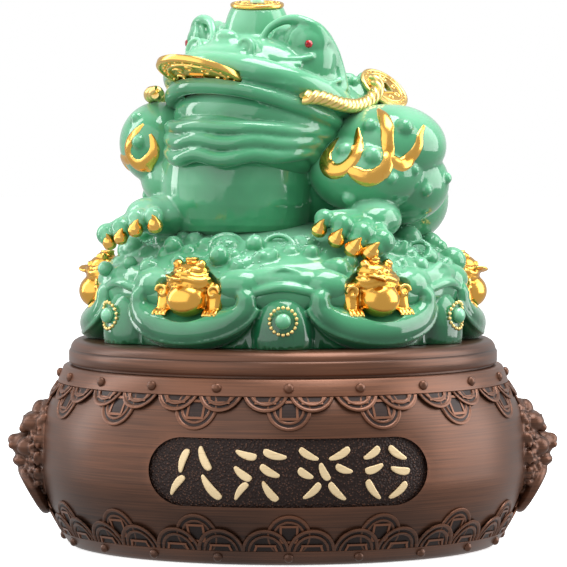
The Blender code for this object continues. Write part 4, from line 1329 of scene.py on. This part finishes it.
class MONEYTOAD_OT_head(bpy.types.Operator):
    """The toad's head and throat: thick lips, wavy folds, curled nostrils, ringed eyes and crown"""

    bl_idname = "moneytoad.head"
    bl_label = "Head and throat"

    # Ridges that the viewer sees, as (x, z) on the upright plane through the axis: radius, sink, points
    SEEN_RIDGES = (
        (1.5, 0.4, ((-41.9, 303.8), (-30, 298.1), (-20.6, 293.1), (-10.6, 289.7), (0, 287.2), (12.5, 286.3),
                    (26.2, 287.2), (38.8, 290))),
    )
    # Folds of the throat: radius, drop at the cheeks, further drop under the snout, wave, and thickness
    FOLDS = ((49.5, 16.5, 13, 0.4, 4.4), (48.2, 23, 15.5, 1.4, 4.8), (46.4, 29, 19, 1.8, 5))

    def execute(self, context):
        parts = self.lips() + self.snout() + self.eyes() + self.crown_bulb()
        for radius, sink, path in self.SEEN_RIDGES:
            ends = [radius * (0.6 if n in (0, len(path) - 1) else 1) for n in range(len(path))]
            parts.append(seen_tube(CAD_FIGURE, path, ends, sink))
        head = fused(parts, "toad_head", context.scene.toad_sizes.casting_detail / MM, share=HEAD_SHARE)
        self.cut_seats(head)
        bpy.ops.object.shade_smooth()
        finished(head, "Cast jade resin", "jade_resin", "jade_figure")
        return {"FINISHED"}

    def lips(self):
        turns = [math.tau * step / 48 for step in range(48)]
        parts = []
        for height, size in ((8, 8.5), (-5, 5)):
            path = [
                (LIP_RADIUS * math.sin(turn), -LIP_RADIUS * math.cos(turn), height + math.cos(2 * turn))
                for turn in turns
            ]
            parts.append(tube(path, [size] * len(path), HEAD, closed=True, sides=11, steps=3))
        waves_round = 8
        for radius, drop, hang, wave, size in self.FOLDS:
            path = []
            for turn in turns:
                front = max(0, math.cos(turn))
                height = front * (wave * math.cos(waves_round * turn) - hang) - drop
                path.append((radius * math.sin(turn), -radius * math.cos(turn), height))
            parts.append(tube(path, [size] * len(path), HEAD, closed=True, sides=4, steps=3))
        return parts

    def snout(self):
        parts = [
            ball((0, 4, 18), (53, 52, 24), place=HEAD, segments=112, rings=64),
            ball((0, 6, -14), (54, 53, 24), place=HEAD, segments=112, rings=64),
            ball((0, 1, -27), (50.5, 50, 16), place=HEAD, segments=112, rings=64),
            ball((0, -6, -35), (46, 42, 13), place=HEAD, segments=112, rings=64),
            ball((0, -26, 15), (36, 30, 14), place=HEAD, segments=80, rings=48),
            ball((0, -38, 22), (15, 12, 11), place=HEAD),
            ball((0, -42, 30), (9, 7, 5.4), place=HEAD),
        ]
        parts += pair((19, -41, 22.5), (8, 7, 7.5), place=HEAD)
        turns_in = 12
        for side in (1, -1):
            curl, sizes = [], []
            for step in range(turns_in):
                turn = math.radians(-110 + 430 * step / (turns_in - 1))
                reach = 7.8 - 0.55 * step
                out = 41.5 + 7 * math.sqrt(1 - (reach / 8.4) ** 2)
                curl.append((side * (19 + reach * math.cos(turn)), -out, 22.5 + reach * math.sin(turn)))
                sizes.append(1.9 - 0.07 * step)
            parts.append(tube(curl, sizes, HEAD))
            tail = [(side * 16, -47.5, 15), (side * 23, -45.5, 13.6), (side * 29, -42, 14),
                    (side * 32, -40, 17)]
            parts.append(tube(tail, (1.6, 2.4, 2.3, 1.2), HEAD))
        return parts

    def eyes(self):
        mounds = (
            ((35, -5, 28), (19, 19.5, 24)),
            ((26, -13.5, 36), (12, 12, 11)),
            ((36, -11, 42), (12, 10, 8)),
        )
        parts = []
        for centre, radii in mounds:
            parts += pair(centre, radii, place=HEAD, segments=80, rings=48)
        parts += pair(EYE, EYE_RADIUS, place=HEAD, segments=32, rings=20)
        for side in (1, -1):
            brow = [(side * across, back, height) for (across, back, height), _ in BROW]
            parts.append(tube(brow, [size for _, size in BROW], HEAD))
            axis = eye_frame(side)
            for reach, start, end in ((17, 70, 205), (20.5, 80, 200)):
                ridge = self.ridge(mounds, reach, start, end)
                parts.append(tube([(side * x, y, z) for x, y, z in ridge], [1.1] * len(ridge), HEAD))
            for opening, size in ((56, 1.1), (74, 1.4)):
                opening = math.radians(opening)
                reach, back = EYE_RADIUS * math.sin(opening), EYE_RADIUS * (1 - math.cos(opening))
                arc = [
                    (reach * math.cos(turn), reach * math.sin(turn), 0.3 - back)
                    for turn in [math.radians(-15 + 21 * step) for step in range(11)]
                ]
                parts.append(tube(arc, [size] * len(arc), axis))
            parts.append(ring(9.4, 0.8, axis @ at(0, 0, -3.9), sides=40))
        lower_lid = ((20, -33, 22.5), (28, -33, 20.5), (38, -29, 20.5), (46, -23, 23), (50, -17, 27))
        under = ((21, -34, 18), (29, -34, 16), (39, -30.5, 16.5), (48, -24, 19))
        for side in (1, -1):
            parts.append(tube([(side * x, y, z) for x, y, z in lower_lid], (1.6, 2.2, 2.4, 2.2, 1.6), HEAD))
            parts.append(tube([(side * x, y, z) for x, y, z in under], (1.4, 2, 2, 1.4), HEAD))
        return parts

    def ridge(self, mounds, reach, start, end):
        """Points of an arc round the eye, laid on the front of the mounds."""
        points = []
        for step in range(9):
            turn = math.radians(start + (end - start) * step / 8)
            x, z = EYE.x + reach * math.cos(turn), EYE.z + 0.8 * reach * math.sin(turn)
            fronts = []
            for centre, radii in mounds:
                inside = 1 - ((x - centre[0]) / radii[0]) ** 2 - ((z - centre[2]) / radii[2]) ** 2
                if inside > 0:
                    fronts.append(centre[1] - radii[1] * math.sqrt(inside))
            if fronts:
                points.append((x, min(fronts) - 0.2, z))
        return points

    def crown_bulb(self):
        place = CROWN @ at(0, 0, -20)
        parts = [
            ball((0, 0, 0), (21, 21, 31), place=place, segments=96, rings=56),
            ball((0, 0, -14), (26, 26, 16), place=place, segments=40, rings=20),
        ]
        return parts

    def cut_seats(self, head):
        """Flat seats for the crown's coin and for the coin in the mouth."""
        slot = disc(MOUTH_COIN_RADIUS + 0.3, MOUTH_COIN_THICKNESS + 0.6, mouth_frame(), 96)
        carved(head, slot)
        carved(head, disc(CROWN_COIN_RADIUS + 6, 20, CROWN @ at(0, 0, 9.7), 96))


def mouth_frame():
    """The coin is held a little off the middle of the mouth, with its left end low and its front up."""
    place = FIGURE.inverted() @ HEAD @ at(MOUTH_COIN_ASIDE, -MOUTH_COIN_REACH, MOUTH_COIN_THICKNESS / 2)
    lean = Matrix.Rotation(MOUTH_COIN_ROLL, 4, "Y") @ Matrix.Rotation(MOUTH_COIN_TIP, 4, "X")
    return FIGURE @ Matrix.Translation(place.translation) @ lean @ place.to_3x3().to_4x4()


def eye_frame(side):
    """On the eyeball, with the frame's Z looking forwards and outwards."""
    level = HEAD @ (Vector((side * EYE.x, EYE.y, EYE.z)) * MM)
    aspect = HEAD_TURN + side * EYE_ASPECT
    out = Vector((math.sin(aspect), -math.cos(aspect), EYE_STONE_DIP))
    out = (FIGURE.to_3x3() @ out).normalized()
    turn = out.to_track_quat("Z", "Y").to_matrix().to_4x4()
    return Matrix.Translation(level + out * EYE_RADIUS * MM) @ turn


class MONEYTOAD_OT_body(bpy.types.Operator):
    """The toad's body: a drum of a belly, a humped back, arms with warts, hands, haunches and a hind leg"""

    bl_idname = "moneytoad.body"
    bl_label = "Body and limbs"

    # Warts that the viewer sees: x and z on the upright plane through the axis, and the radius
    SEEN_WARTS = (
        ((38.8, 245.6), 5.4), ((55.9, 242.5), 6), ((54.4, 261.3), 4.8), ((75.9, 260), 5.6),
        ((88.1, 270.6), 4.6),
        ((41.2, 215.6), 4.8), ((67.5, 228.1), 3.6), ((82.5, 233.1), 3), ((89.4, 220.6), 4),
        ((101.9, 228.1), 4),
        ((102.5, 249.4), 3.4), ((-90, 250.6), 4.8), ((-85.6, 216.9), 3.6), ((-91.2, 265.6), 4.4),
        ((43.1, 293.8), 4.6),
        ((38.8, 296.9), 4), ((46.9, 298.1), 4), ((44.4, 288.1), 4), ((62.5, 276.3), 4.4),
        ((67.5, 274.4), 4.2),
    )

    def execute(self, context):
        parts = self.trunk() + self.arms()
        for palm, *toes in HANDS.values():
            parts += self.hand(palm, toes)
        for spot, radius in self.SEEN_WARTS:
            parts.append(ball(seen_on(CAD_FIGURE, *spot, 0.12 * radius), radius, segments=20, rings=14))
        parts += self.back_warts()
        body = fused(parts, "toad_body", context.scene.toad_sizes.casting_detail / MM, share=CASTING_SHARE)
        below = box((400, 400, 100), at(0, 0, 128))
        carved(body, below)
        bpy.ops.object.shade_smooth()
        finished(body, "Cast jade resin", "jade_resin", "jade_figure")
        return {"FINISHED"}

    def trunk(self):
        belly = ((197, 41), (205, 45), (214, 47.6), (226, 48.4), (238, 47), (248, 43))
        barrel = tube([(-28, -22, height) for height, _ in belly], [size for _, size in belly], sides=20)
        return [
            barrel,
            ball((-28, -22, 203), (44, 44, 13), segments=48, rings=28),
            ball((4, 22, 230), (78, 64, 44), segments=48, rings=28),
            ball((26, 14, 258), (47, 50, 35), segments=96, rings=56),
            ball((-40, 12, 252), (44, 46, 32), segments=96, rings=56),
            ball((47, 0, 273), (17, 18, 18)),
            ball((-64, 26, 255), (20, 26, 17)),
            ball((6, 84, 210), (26, 22, 20)),
        ]

    def arms(self):
        return [
            ball((65, -30, 249), (36, 36, 26), segments=96, rings=56),
            ball((52, -40, 233), (36, 34, 26), segments=96, rings=56),
            ball((71, -24, 226), (32, 32, 26), segments=96, rings=56),
            ball((74, 18, 214), (30, 40, 28), segments=80, rings=48),
            ball((55, -58, 205), (18, 22, 13)),
            ball((-77, -2, 250), (25, 31, 26), segments=80, rings=48),
            ball((-64, -4, 230), (25, 32, 24), segments=80, rings=48),
            ball((-74, -32, 206), (20, 24, 13)),
            ball((-56, 28, 212), (26, 38, 26), segments=80, rings=48),
        ]

    def hand(self, palm, toes):
        """Plump toes round a palm, each ending in a round knuckle and a smaller tip."""
        parts = [ball(palm, (15, 15, 11))]
        for knuckle, size, way, _ in toes:
            middle = [(p + k) / 2 for p, k in zip(palm, knuckle)]
            parts.append(tube((palm, middle, knuckle), (8, 7, 0.8 * size), sides=6))
            parts.append(ball(knuckle, size, segments=32, rings=20))
            parts.append(ball(Vector(knuckle) + 0.5 * Vector(way), 0.78 * size, segments=24, rings=16))
        return parts

    def back_warts(self):
        """Rows of warts over the hump and the haunches, smaller towards the sides."""
        parts = []
        for row in range(5):
            for place in range(-3, 4):
                x = place * 17 + (8 if row % 2 else 0)
                y = 8 + row * 17
                start = FIGURE @ Vector((x, y, 400)) * MM
                spot, normal, _, _ = CAD_FIGURE.ray_cast(start, Vector((0, 0, -1)))
                if spot is None or spot.z / MM < 205 or spot.z / MM > 300:
                    continue
                size = 5.6 - 0.5 * abs(place) + 0.6 * math.sin(3 * place + 2 * row)
                centre = FIGURE.inverted() @ (spot / MM - normal * 0.35 * size)
                parts.append(ball(centre, size, segments=18, rings=12))
        return parts


class MONEYTOAD_OT_arm_marks(bpy.types.Operator):
    """Gold flame marks laid on both arms"""

    bl_idname = "moneytoad.arm_marks"
    bl_label = "Flame marks"

    # Marks as the viewer sees them: (x, z) on the upright plane through the axis, and the half width there
    MARKS = (
        (
            ((34.4, 253.1), 0.7), ((29.4, 246.9), 2.2), ((26.2, 240), 3.2), ((28.1, 234.4), 3.6),
            ((33.1, 232.5), 3.2),
            ((39.4, 235.6), 2.6), ((44.4, 241.3), 2.6), ((46.9, 248.1), 2.2), ((46.6, 254.4), 1.6),
            ((46.6, 259.4), 0.6),
        ),
        (
            ((40, 235), 1.4), ((45, 231.3), 2.8), ((52.5, 228.1), 3.6), ((60, 230.6), 3.2),
            ((65, 236.3), 2.6),
            ((65.9, 244.4), 2.4), ((65, 251.9), 2.6), ((65, 259.4), 2.8), ((62.5, 266.9), 2.4),
            ((59.4, 271.3), 0.7),
        ),
        (
            ((65, 244.4), 1.4), ((68.8, 239.4), 2.6), ((74.4, 236.9), 3), ((80.6, 241.9), 2.6),
            ((84.7, 248.8), 2),
            ((85.6, 255), 1.4), ((88.1, 261), 0.6),
        ),
        (
            ((-86.9, 261.9), 0.6), ((-91.9, 256.9), 1.8), ((-95.9, 250.6), 2.4), ((-96.9, 244.4), 2.2),
            ((-94.4, 238.8), 2.6),
            ((-88.8, 235.6), 3.2), ((-83.1, 239.4), 2.8), ((-80.3, 245.6), 2.2), ((-81.2, 251.3), 1.4),
            ((-82.8, 255.6), 0.6),
        ),
        (
            ((-93.1, 240.6), 1.2), ((-97.5, 239.4), 2), ((-100.9, 236.9), 2.4), ((-100.6, 232.5), 1.8),
            ((-98.8, 230), 0.7),
        ),
    )

    def execute(self, context):
        body = bpy.data.objects["toad_body"]
        tree = solid_tree(body.data)
        marks = []
        for mark in self.MARKS:
            path = [seen_on(tree, x, z) for (x, z), _ in mark]
            marks.append(tube(path, [1.55 * half for _, half in mark], sides=6, steps=8))
        made = joined(marks, "arm_marks")
        laid_flat(made, tree, 0.33)
        smooth_shaded(made)
        finished(made, "Gold plate on resin", "gold_plate")
        return {"FINISHED"}


class MONEYTOAD_OT_claws(bpy.types.Operator):
    """A gold claw at the tip of each toe that the viewer sees, and at the hind foot"""

    bl_idname = "moneytoad.claws"
    bl_label = "Gold claws"

    def execute(self, context):
        claws = []
        for _, *toes in HANDS.values():
            for knuckle, _, way, size in toes:
                claws += self.claw(Vector(knuckle), Vector(way), size)
        made = joined(claws, "gold_claws")
        bpy.ops.object.shade_smooth()
        finished(made, "Gold plate on resin", "gold_plate")
        return {"FINISHED"}

    def claw(self, knuckle, way, size):
        """An onion-shaped cap: round below, and drawn up to a bent point on the toe."""
        centre = knuckle + way
        up = Vector((-0.1 * way.x, 0.12 * way.y, 1)).normalized()
        line = [centre + up * size * reach for reach in (-1, -0.55, 0, 0.55, 1.05, 1.6)]
        line[-1] += Vector((0.2, 0.15, 0)) * size * (1 if way.x < 0 else -1)
        widths = [size * share for share in (0.3, 0.86, 1, 0.8, 0.4, 0.08)]
        return [tube(line, widths, sides=6, steps=6)]


# Coins, ropes and stones


def coin_piece(name, place, radius, thickness, hole, marks):
    """A coin with a raised rim, an inner ring, a square hole and a ring of plain curls and dots."""
    plate = disc(radius, thickness * 0.72, place, 72)
    if hole:
        carved(plate, box((hole, hole, 3 * thickness), place))
    parts = [plate]
    rim = max(0.9, radius * 0.075)
    parts.append(ring(radius - rim, rim, place, thickness / 2 / rim * 0.98, 72, 12))
    for side in (1, -1):
        lift = side * thickness * 0.36
        parts.append(ring(radius * 0.72, rim * 0.45, place @ at(0, 0, lift), sides=56))
        if hole:
            for n in range(4):
                turn = Matrix.Rotation(n * math.pi / 2, 4, "Z")
                size = (hole + 2, 1.2, thickness * 0.3)
                parts.append(box(size, place @ turn @ at(0, hole / 2 + 0.6, lift)))
        for n in range(marks):
            turn = place @ Matrix.Rotation(math.tau * n / marks, 4, "Z")
            curl = []
            for step in range(6):
                angle = math.radians(300 * step / 5)
                reach = radius * (0.13 - 0.018 * step)
                curl.append((radius * 0.5 + reach * math.cos(angle), reach * math.sin(angle), lift))
            parts.append(tube(curl, [radius * 0.03] * len(curl), turn, sides=2))
        for n in range(3 * marks):
            angle = math.tau * (n + 0.5) / (3 * marks)
            dot = (radius * 0.82 * math.sin(angle), radius * 0.82 * math.cos(angle), lift)
            parts.append(ball(dot, radius * 0.035, place=place, segments=8, rings=6))
    return joined(parts, name)


class MONEYTOAD_OT_coins(bpy.types.Operator):
    """The coin in the mouth, the crown's coin with its pearl, and the coins on the shoulders"""

    bl_idname = "moneytoad.coins"
    bl_label = "Coins"

    def execute(self, context):
        mouth = coin_piece("mouth_coin_finish", mouth_frame(), MOUTH_COIN_RADIUS, MOUTH_COIN_THICKNESS, 9, 8)
        smooth_shaded(mouth, 35)
        finished(mouth, "Gold plate on resin", "gold_plate", "mouth_coin")
        crown = coin_piece("crown_coin_finish", CROWN @ at(0, 0, 1.5), CROWN_COIN_RADIUS, 3, 0, 9)
        smooth_shaded(crown, 35)
        finished(crown, "Gold plate on resin", "gold_plate", "crown_coin")
        pearl = joined([ball((0, 0, 3.3), (4.5, 4.5, 4.5), place=CROWN)], "crown_pearl_finish")
        carved(pearl, box((20, 20, 10), CROWN @ at(0, 0, -1.8)))
        smooth_shaded(pearl)
        finished(pearl, "Pale jade resin", "jade_resin", "crown_pearl")
        for side, (centre, outwards) in BACK_COINS.items():
            name = f"back_coin_{side}"
            back = coin_piece(name + "_finish", turned_to(outwards, centre), BACK_COIN_RADIUS, 3, 7, 7)
            smooth_shaded(back, 35)
            finished(back, "Pale gold leaf", "pale_gold", name)
        return {"FINISHED"}


class MONEYTOAD_OT_ropes(bpy.types.Operator):
    """A rope of three twisted strands from each corner of the mouth to the coin on the shoulder"""

    bl_idname = "moneytoad.ropes"
    bl_label = "Ropes"

    def execute(self, context):
        for side, route in ROPES.items():
            path = []
            for reach, turn, height in route:
                turn = math.radians(turn)
                path.append(Vector((reach * math.sin(turn), -reach * math.cos(turn), height)))
            dense = self.spread(path, 60)
            strands = 3
            lay = 15.0
            strand_radius = ROPE_RADIUS * 0.5
            parts = []
            for number in range(strands):
                line = []
                travelled = 0.0
                for index, point in enumerate(dense):
                    ahead = dense[min(index + 1, len(dense) - 1)] - dense[max(index - 1, 0)]
                    travelled += (point - dense[index - 1]).length if index else 0
                    sideways = ahead.cross(Vector((0, 0, 1))).normalized()
                    upwards = sideways.cross(ahead).normalized()
                    turn = math.tau * (travelled / lay + number / strands)
                    offset = ((sideways * math.cos(turn) + upwards * math.sin(turn))
                              * (ROPE_RADIUS - strand_radius))
                    line.append(point + offset)
                parts.append(tube(line, [strand_radius * 1.12] * len(line), HEAD, sides=3, steps=2))
            name = f"rope_{side}"
            rope = joined(parts, name + "_finish")
            bpy.ops.object.shade_smooth()
            finished(rope, "Pale gold leaf", "pale_gold", name)
        return {"FINISHED"}

    def spread(self, path, count):
        """Evenly spaced points on a smooth line through the path."""
        made = []
        spans = len(path) - 1
        for step in range(count + 1):
            share = spans * step / count
            index = min(int(share), spans - 1)
            t = share - index
            p0, p1, p2, p3 = (path[min(max(index + n, 0), spans)] for n in (-1, 0, 1, 2))
            made.append(
                (2 * p1 + (p2 - p0) * t + (2 * p0 - 5 * p1 + 4 * p2 - p3) * t**2
                 + (3 * p1 - p0 - 3 * p2 + p3) * t**3)
                / 2
            )
        return made


class MONEYTOAD_OT_eyes(bpy.types.Operator):
    """A cut red stone in the middle of each eye"""

    bl_idname = "moneytoad.eyes"
    bl_label = "Eye stones"

    def execute(self, context):
        for side, name in ((1, "eye_stone_left"), (-1, "eye_stone_right")):
            deselect()
            bpy.ops.mesh.primitive_cone_add(
                vertices=8, radius1=2.5 * MM, radius2=1.4 * MM, depth=1.1 * MM, calc_uvs=False
            )
            top = bpy.context.object
            top.matrix_world = eye_frame(side) @ at(0, 0, 0.45)
            set_down(top)
            stone = joined([top, disc(2.5, 1.0, eye_frame(side) @ at(0, 0, -0.5), 8)], name + "_finish")
            finished(stone, "Clear red acrylic", "red_stone", name)
        return {"FINISHED"}


class MONEYTOAD_OT_small_toads(bpy.types.Operator):
    """Six small gold toads, one in each petal"""

    bl_idname = "moneytoad.small_toads"
    bl_label = "Small gold toads"

    def execute(self, context):
        here = Matrix()
        parts = [
            ball((0, -12, 10.8), (13, 11, 10.6), place=here, segments=48, rings=32),
            ball((0, -7, 21), (16, 11.5, 6), place=here, segments=48, rings=32),
            ball((0, -6, 28), (12, 10, 5.5), place=here, segments=48, rings=32),
            ball((0, 1, 15), (18, 8, 13), place=here),
            ball((0, -5, 32.5), (4.6, 4.6, 3.6), place=here, segments=16, rings=12),
        ]
        parts += pair((8, -8, 32), (3.3, 3.3, 3.3), place=here, segments=16, rings=12)
        parts += pair((8.8, -11, 32.4), (1.3, 1.3, 1.3), place=here, segments=10, rings=8)
        parts += pair((17, -5, 14), (7, 7, 7.5), place=here)
        parts += pair((3, -16.2, 28), (1.7, 1.7, 1.5), place=here, segments=10, rings=8)
        for height, reach, size in ((17.4, 12.5, 1.1), (20.2, 13.5, 1.2), (23.4, 13.5, 1.7), (26, 12, 1.3)):
            fold = []
            for step in range(9):
                turn = math.radians(-80 + 20 * step)
                fold.append((reach * 1.1 * math.sin(turn), -6 - reach * 0.85 * math.cos(turn),
                             height + math.cos(4 * turn)))
            parts.append(tube(fold, [size * 0.6] + [size] * 7 + [size * 0.6], here))
        crown = disc(4.4, 1.2, here @ at(0, -5, 35.6), 24)
        coin = disc(6, 1.6, here @ at(-5, -17.5, 24.5) @ Matrix.Rotation(0.3, 4, "Y"), 28)
        parts += [crown, coin]
        for side in (1, -1):
            curl = []
            for step in range(8):
                turn = math.radians(45 * step)
                reach = 4.6 - 0.45 * step
                curl.append((side * (18 + reach * math.cos(turn)), -11.2 - 0.15 * step,
                             15.5 + reach * math.sin(turn)))
            parts.append(tube(curl, (1, 1.1, 1.1, 1.1, 1, 1, 0.9, 0.8), here))
            leg = [(side * 17, -6, 11), (side * 17.5, -8.5, 5.5), (side * 17, -9.5, 3.4)]
            parts.append(tube(leg, (6.4, 5, 4), here, sides=6))
            for toe in range(4):
                x = side * (13.5 + 2.7 * toe)
                parts.append(tube([(x, -9, 5), (x, -14, 3.4), (x, -16.4, 1.2)], (1.3, 1.3, 0.9), here))
        detail = context.scene.toad_sizes.gold_detail / MM
        toad = fused(parts, "small_toad", detail, 1)
        carved(toad, box((70, 40, 80), at(0, 20 - 0.3, 20)))
        for number in range(PETALS):
            place = FIGURE @ facing((number + 0.5) * PETAL_STEP, TOAD_SEAT, TOAD_FEET_Z)
            piece = placed_copy(toad, place)
            piece.name = piece.data.name = f"small_toad_{number + 1}_finish"
            activate(piece)
            bpy.ops.object.shade_smooth()
            finished(piece, "Gold plate on resin", "gold_plate", f"small_toad_{number + 1}")
        bpy.data.objects.remove(toad)
        return {"FINISHED"}


# Stage


class MONEYTOAD_OT_stage(bpy.types.Operator):
    """A pale floor, soft studio lights and the camera"""

    bl_idname = "moneytoad.stage"
    bl_label = "Stage"

    def execute(self, context):
        deselect()
        bpy.ops.mesh.primitive_circle_add(vertices=128, radius=6, fill_type="NGON")
        floor = context.object
        floor.name = "floor"
        floor.data.materials.append(lit_table("Lit white table"))
        # The table is cut away from the gloss, so that it doesn't light the bowl from below
        floor.visible_diffuse = floor.visible_glossy = False
        self.studio(context)
        self.softbox("left_softbox", (-1.35, -0.95, 0.85), (3.4, 2.2), 25)
        self.softbox("left_strip", (-1.45, 0.5, 0.85), (0.4, 1.8), 11)
        self.softbox("right_softbox", (1.75, 0.05, 0.75), (1.5, 1.9), 31)
        self.softbox("top_softbox", (0.35, -0.15, 1.8), (1.3, 1.0), 29)
        self.camera(context)
        context.scene.view_settings.view_transform = "Standard"
        return {"FINISHED"}

    def studio(self, context):
        """A white backdrop to look at, and a dimmer room to light and mirror in the gloss."""
        world = bpy.data.worlds.new("Studio")
        world.use_nodes = True
        tree = world.node_tree
        tree.nodes.clear()
        seen = add_node(tree, "ShaderNodeLightPath").outputs["Is Camera Ray"]
        room = add_node(tree, "ShaderNodeBackground", {"Color": (1, 1, 1, 1), "Strength": 0.6}).outputs[0]
        backdrop = add_node(tree, "ShaderNodeBackground", {"Color": (1, 1, 1, 1), "Strength": 1.0}).outputs[0]
        mixed = add_node(tree, "ShaderNodeMixShader", {0: seen, 1: room, 2: backdrop}).outputs[0]
        add_node(tree, "ShaderNodeOutputWorld", {"Surface": mixed})
        context.scene.world = world

    def softbox(self, name, place, size, power):
        bpy.ops.object.light_add(type="AREA", location=place)
        light = bpy.context.object
        light.name = name
        light.data.shape = "RECTANGLE"
        light.data.size, light.data.size_y = size
        light.data.energy = power
        light.visible_camera = False
        aim = Vector((0, 0, 0.18)) - Vector(place)
        light.rotation_euler = aim.to_track_quat("-Z", "Y").to_euler()

    def camera(self, context):
        eye = FIGURE @ Vector((0, -VIEW_DISTANCE, EYE_LEVEL)) * MM
        aim = FIGURE @ Vector((0.3, 0, 162.2)) * MM
        bpy.ops.object.camera_add(location=eye, rotation=(aim - eye).to_track_quat("-Z", "Y").to_euler())
        camera = context.object
        camera.data.sensor_width = 36
        camera.data.lens = 36 * (aim - eye).length / (PICTURE_WIDTH * MM)
        camera.data.clip_end = 50
        context.scene.camera = camera


class MONEYTOAD_PT_panel(bpy.types.Panel):
    """Sizes, colours and pieces of the figure"""

    bl_idname = "MONEYTOAD_PT_panel"
    bl_label = "Money toad"
    bl_space_type = "VIEW_3D"
    bl_region_type = "UI"
    bl_category = "Money toad"

    def draw(self, context):
        layout = self.layout
        for group in (context.scene.toad_sizes, context.scene.toad_colours):
            column = layout.column()
            for name in group.__annotations__:
                column.prop(group, name)
        for operator in PIECES:
            layout.operator(operator.bl_idname)


PIECES = (
    MONEYTOAD_OT_bowl,
    MONEYTOAD_OT_lace,
    MONEYTOAD_OT_rivets,
    MONEYTOAD_OT_panel_strokes,
    MONEYTOAD_OT_lid,
    MONEYTOAD_OT_lion_masks,
    MONEYTOAD_OT_lotus,
    MONEYTOAD_OT_heap,
    MONEYTOAD_OT_medallions,
    MONEYTOAD_OT_head,
    MONEYTOAD_OT_body,
    MONEYTOAD_OT_arm_marks,
    MONEYTOAD_OT_claws,
    MONEYTOAD_OT_coins,
    MONEYTOAD_OT_ropes,
    MONEYTOAD_OT_eyes,
    MONEYTOAD_OT_small_toads,
    MONEYTOAD_OT_stage,
)
CLASSES = (ToadSizes, ToadColours, *PIECES, MONEYTOAD_PT_panel)


def register():
    for made in CLASSES:
        bpy.utils.register_class(made)
    bpy.types.Scene.toad_sizes = PointerProperty(type=ToadSizes)
    bpy.types.Scene.toad_colours = PointerProperty(type=ToadColours)


def unregister():
    del bpy.types.Scene.toad_colours
    del bpy.types.Scene.toad_sizes
    for made in reversed(CLASSES):
        bpy.utils.unregister_class(made)


def main():
    register()
    bpy.ops.moneytoad.bowl()
    bpy.ops.moneytoad.lace()
    bpy.ops.moneytoad.rivets()
    bpy.ops.moneytoad.panel_strokes()
    bpy.ops.moneytoad.lid()
    bpy.ops.moneytoad.lion_masks()
    bpy.ops.moneytoad.lotus()
    bpy.ops.moneytoad.heap()
    bpy.ops.moneytoad.medallions()
    bpy.ops.moneytoad.head()
    bpy.ops.moneytoad.body()
    bpy.ops.moneytoad.arm_marks()
    bpy.ops.moneytoad.claws()
    bpy.ops.moneytoad.coins()
    bpy.ops.moneytoad.ropes()
    bpy.ops.moneytoad.eyes()
    bpy.ops.moneytoad.small_toads()
    bpy.ops.moneytoad.stage()


if __name__ == "__main__":
    main()
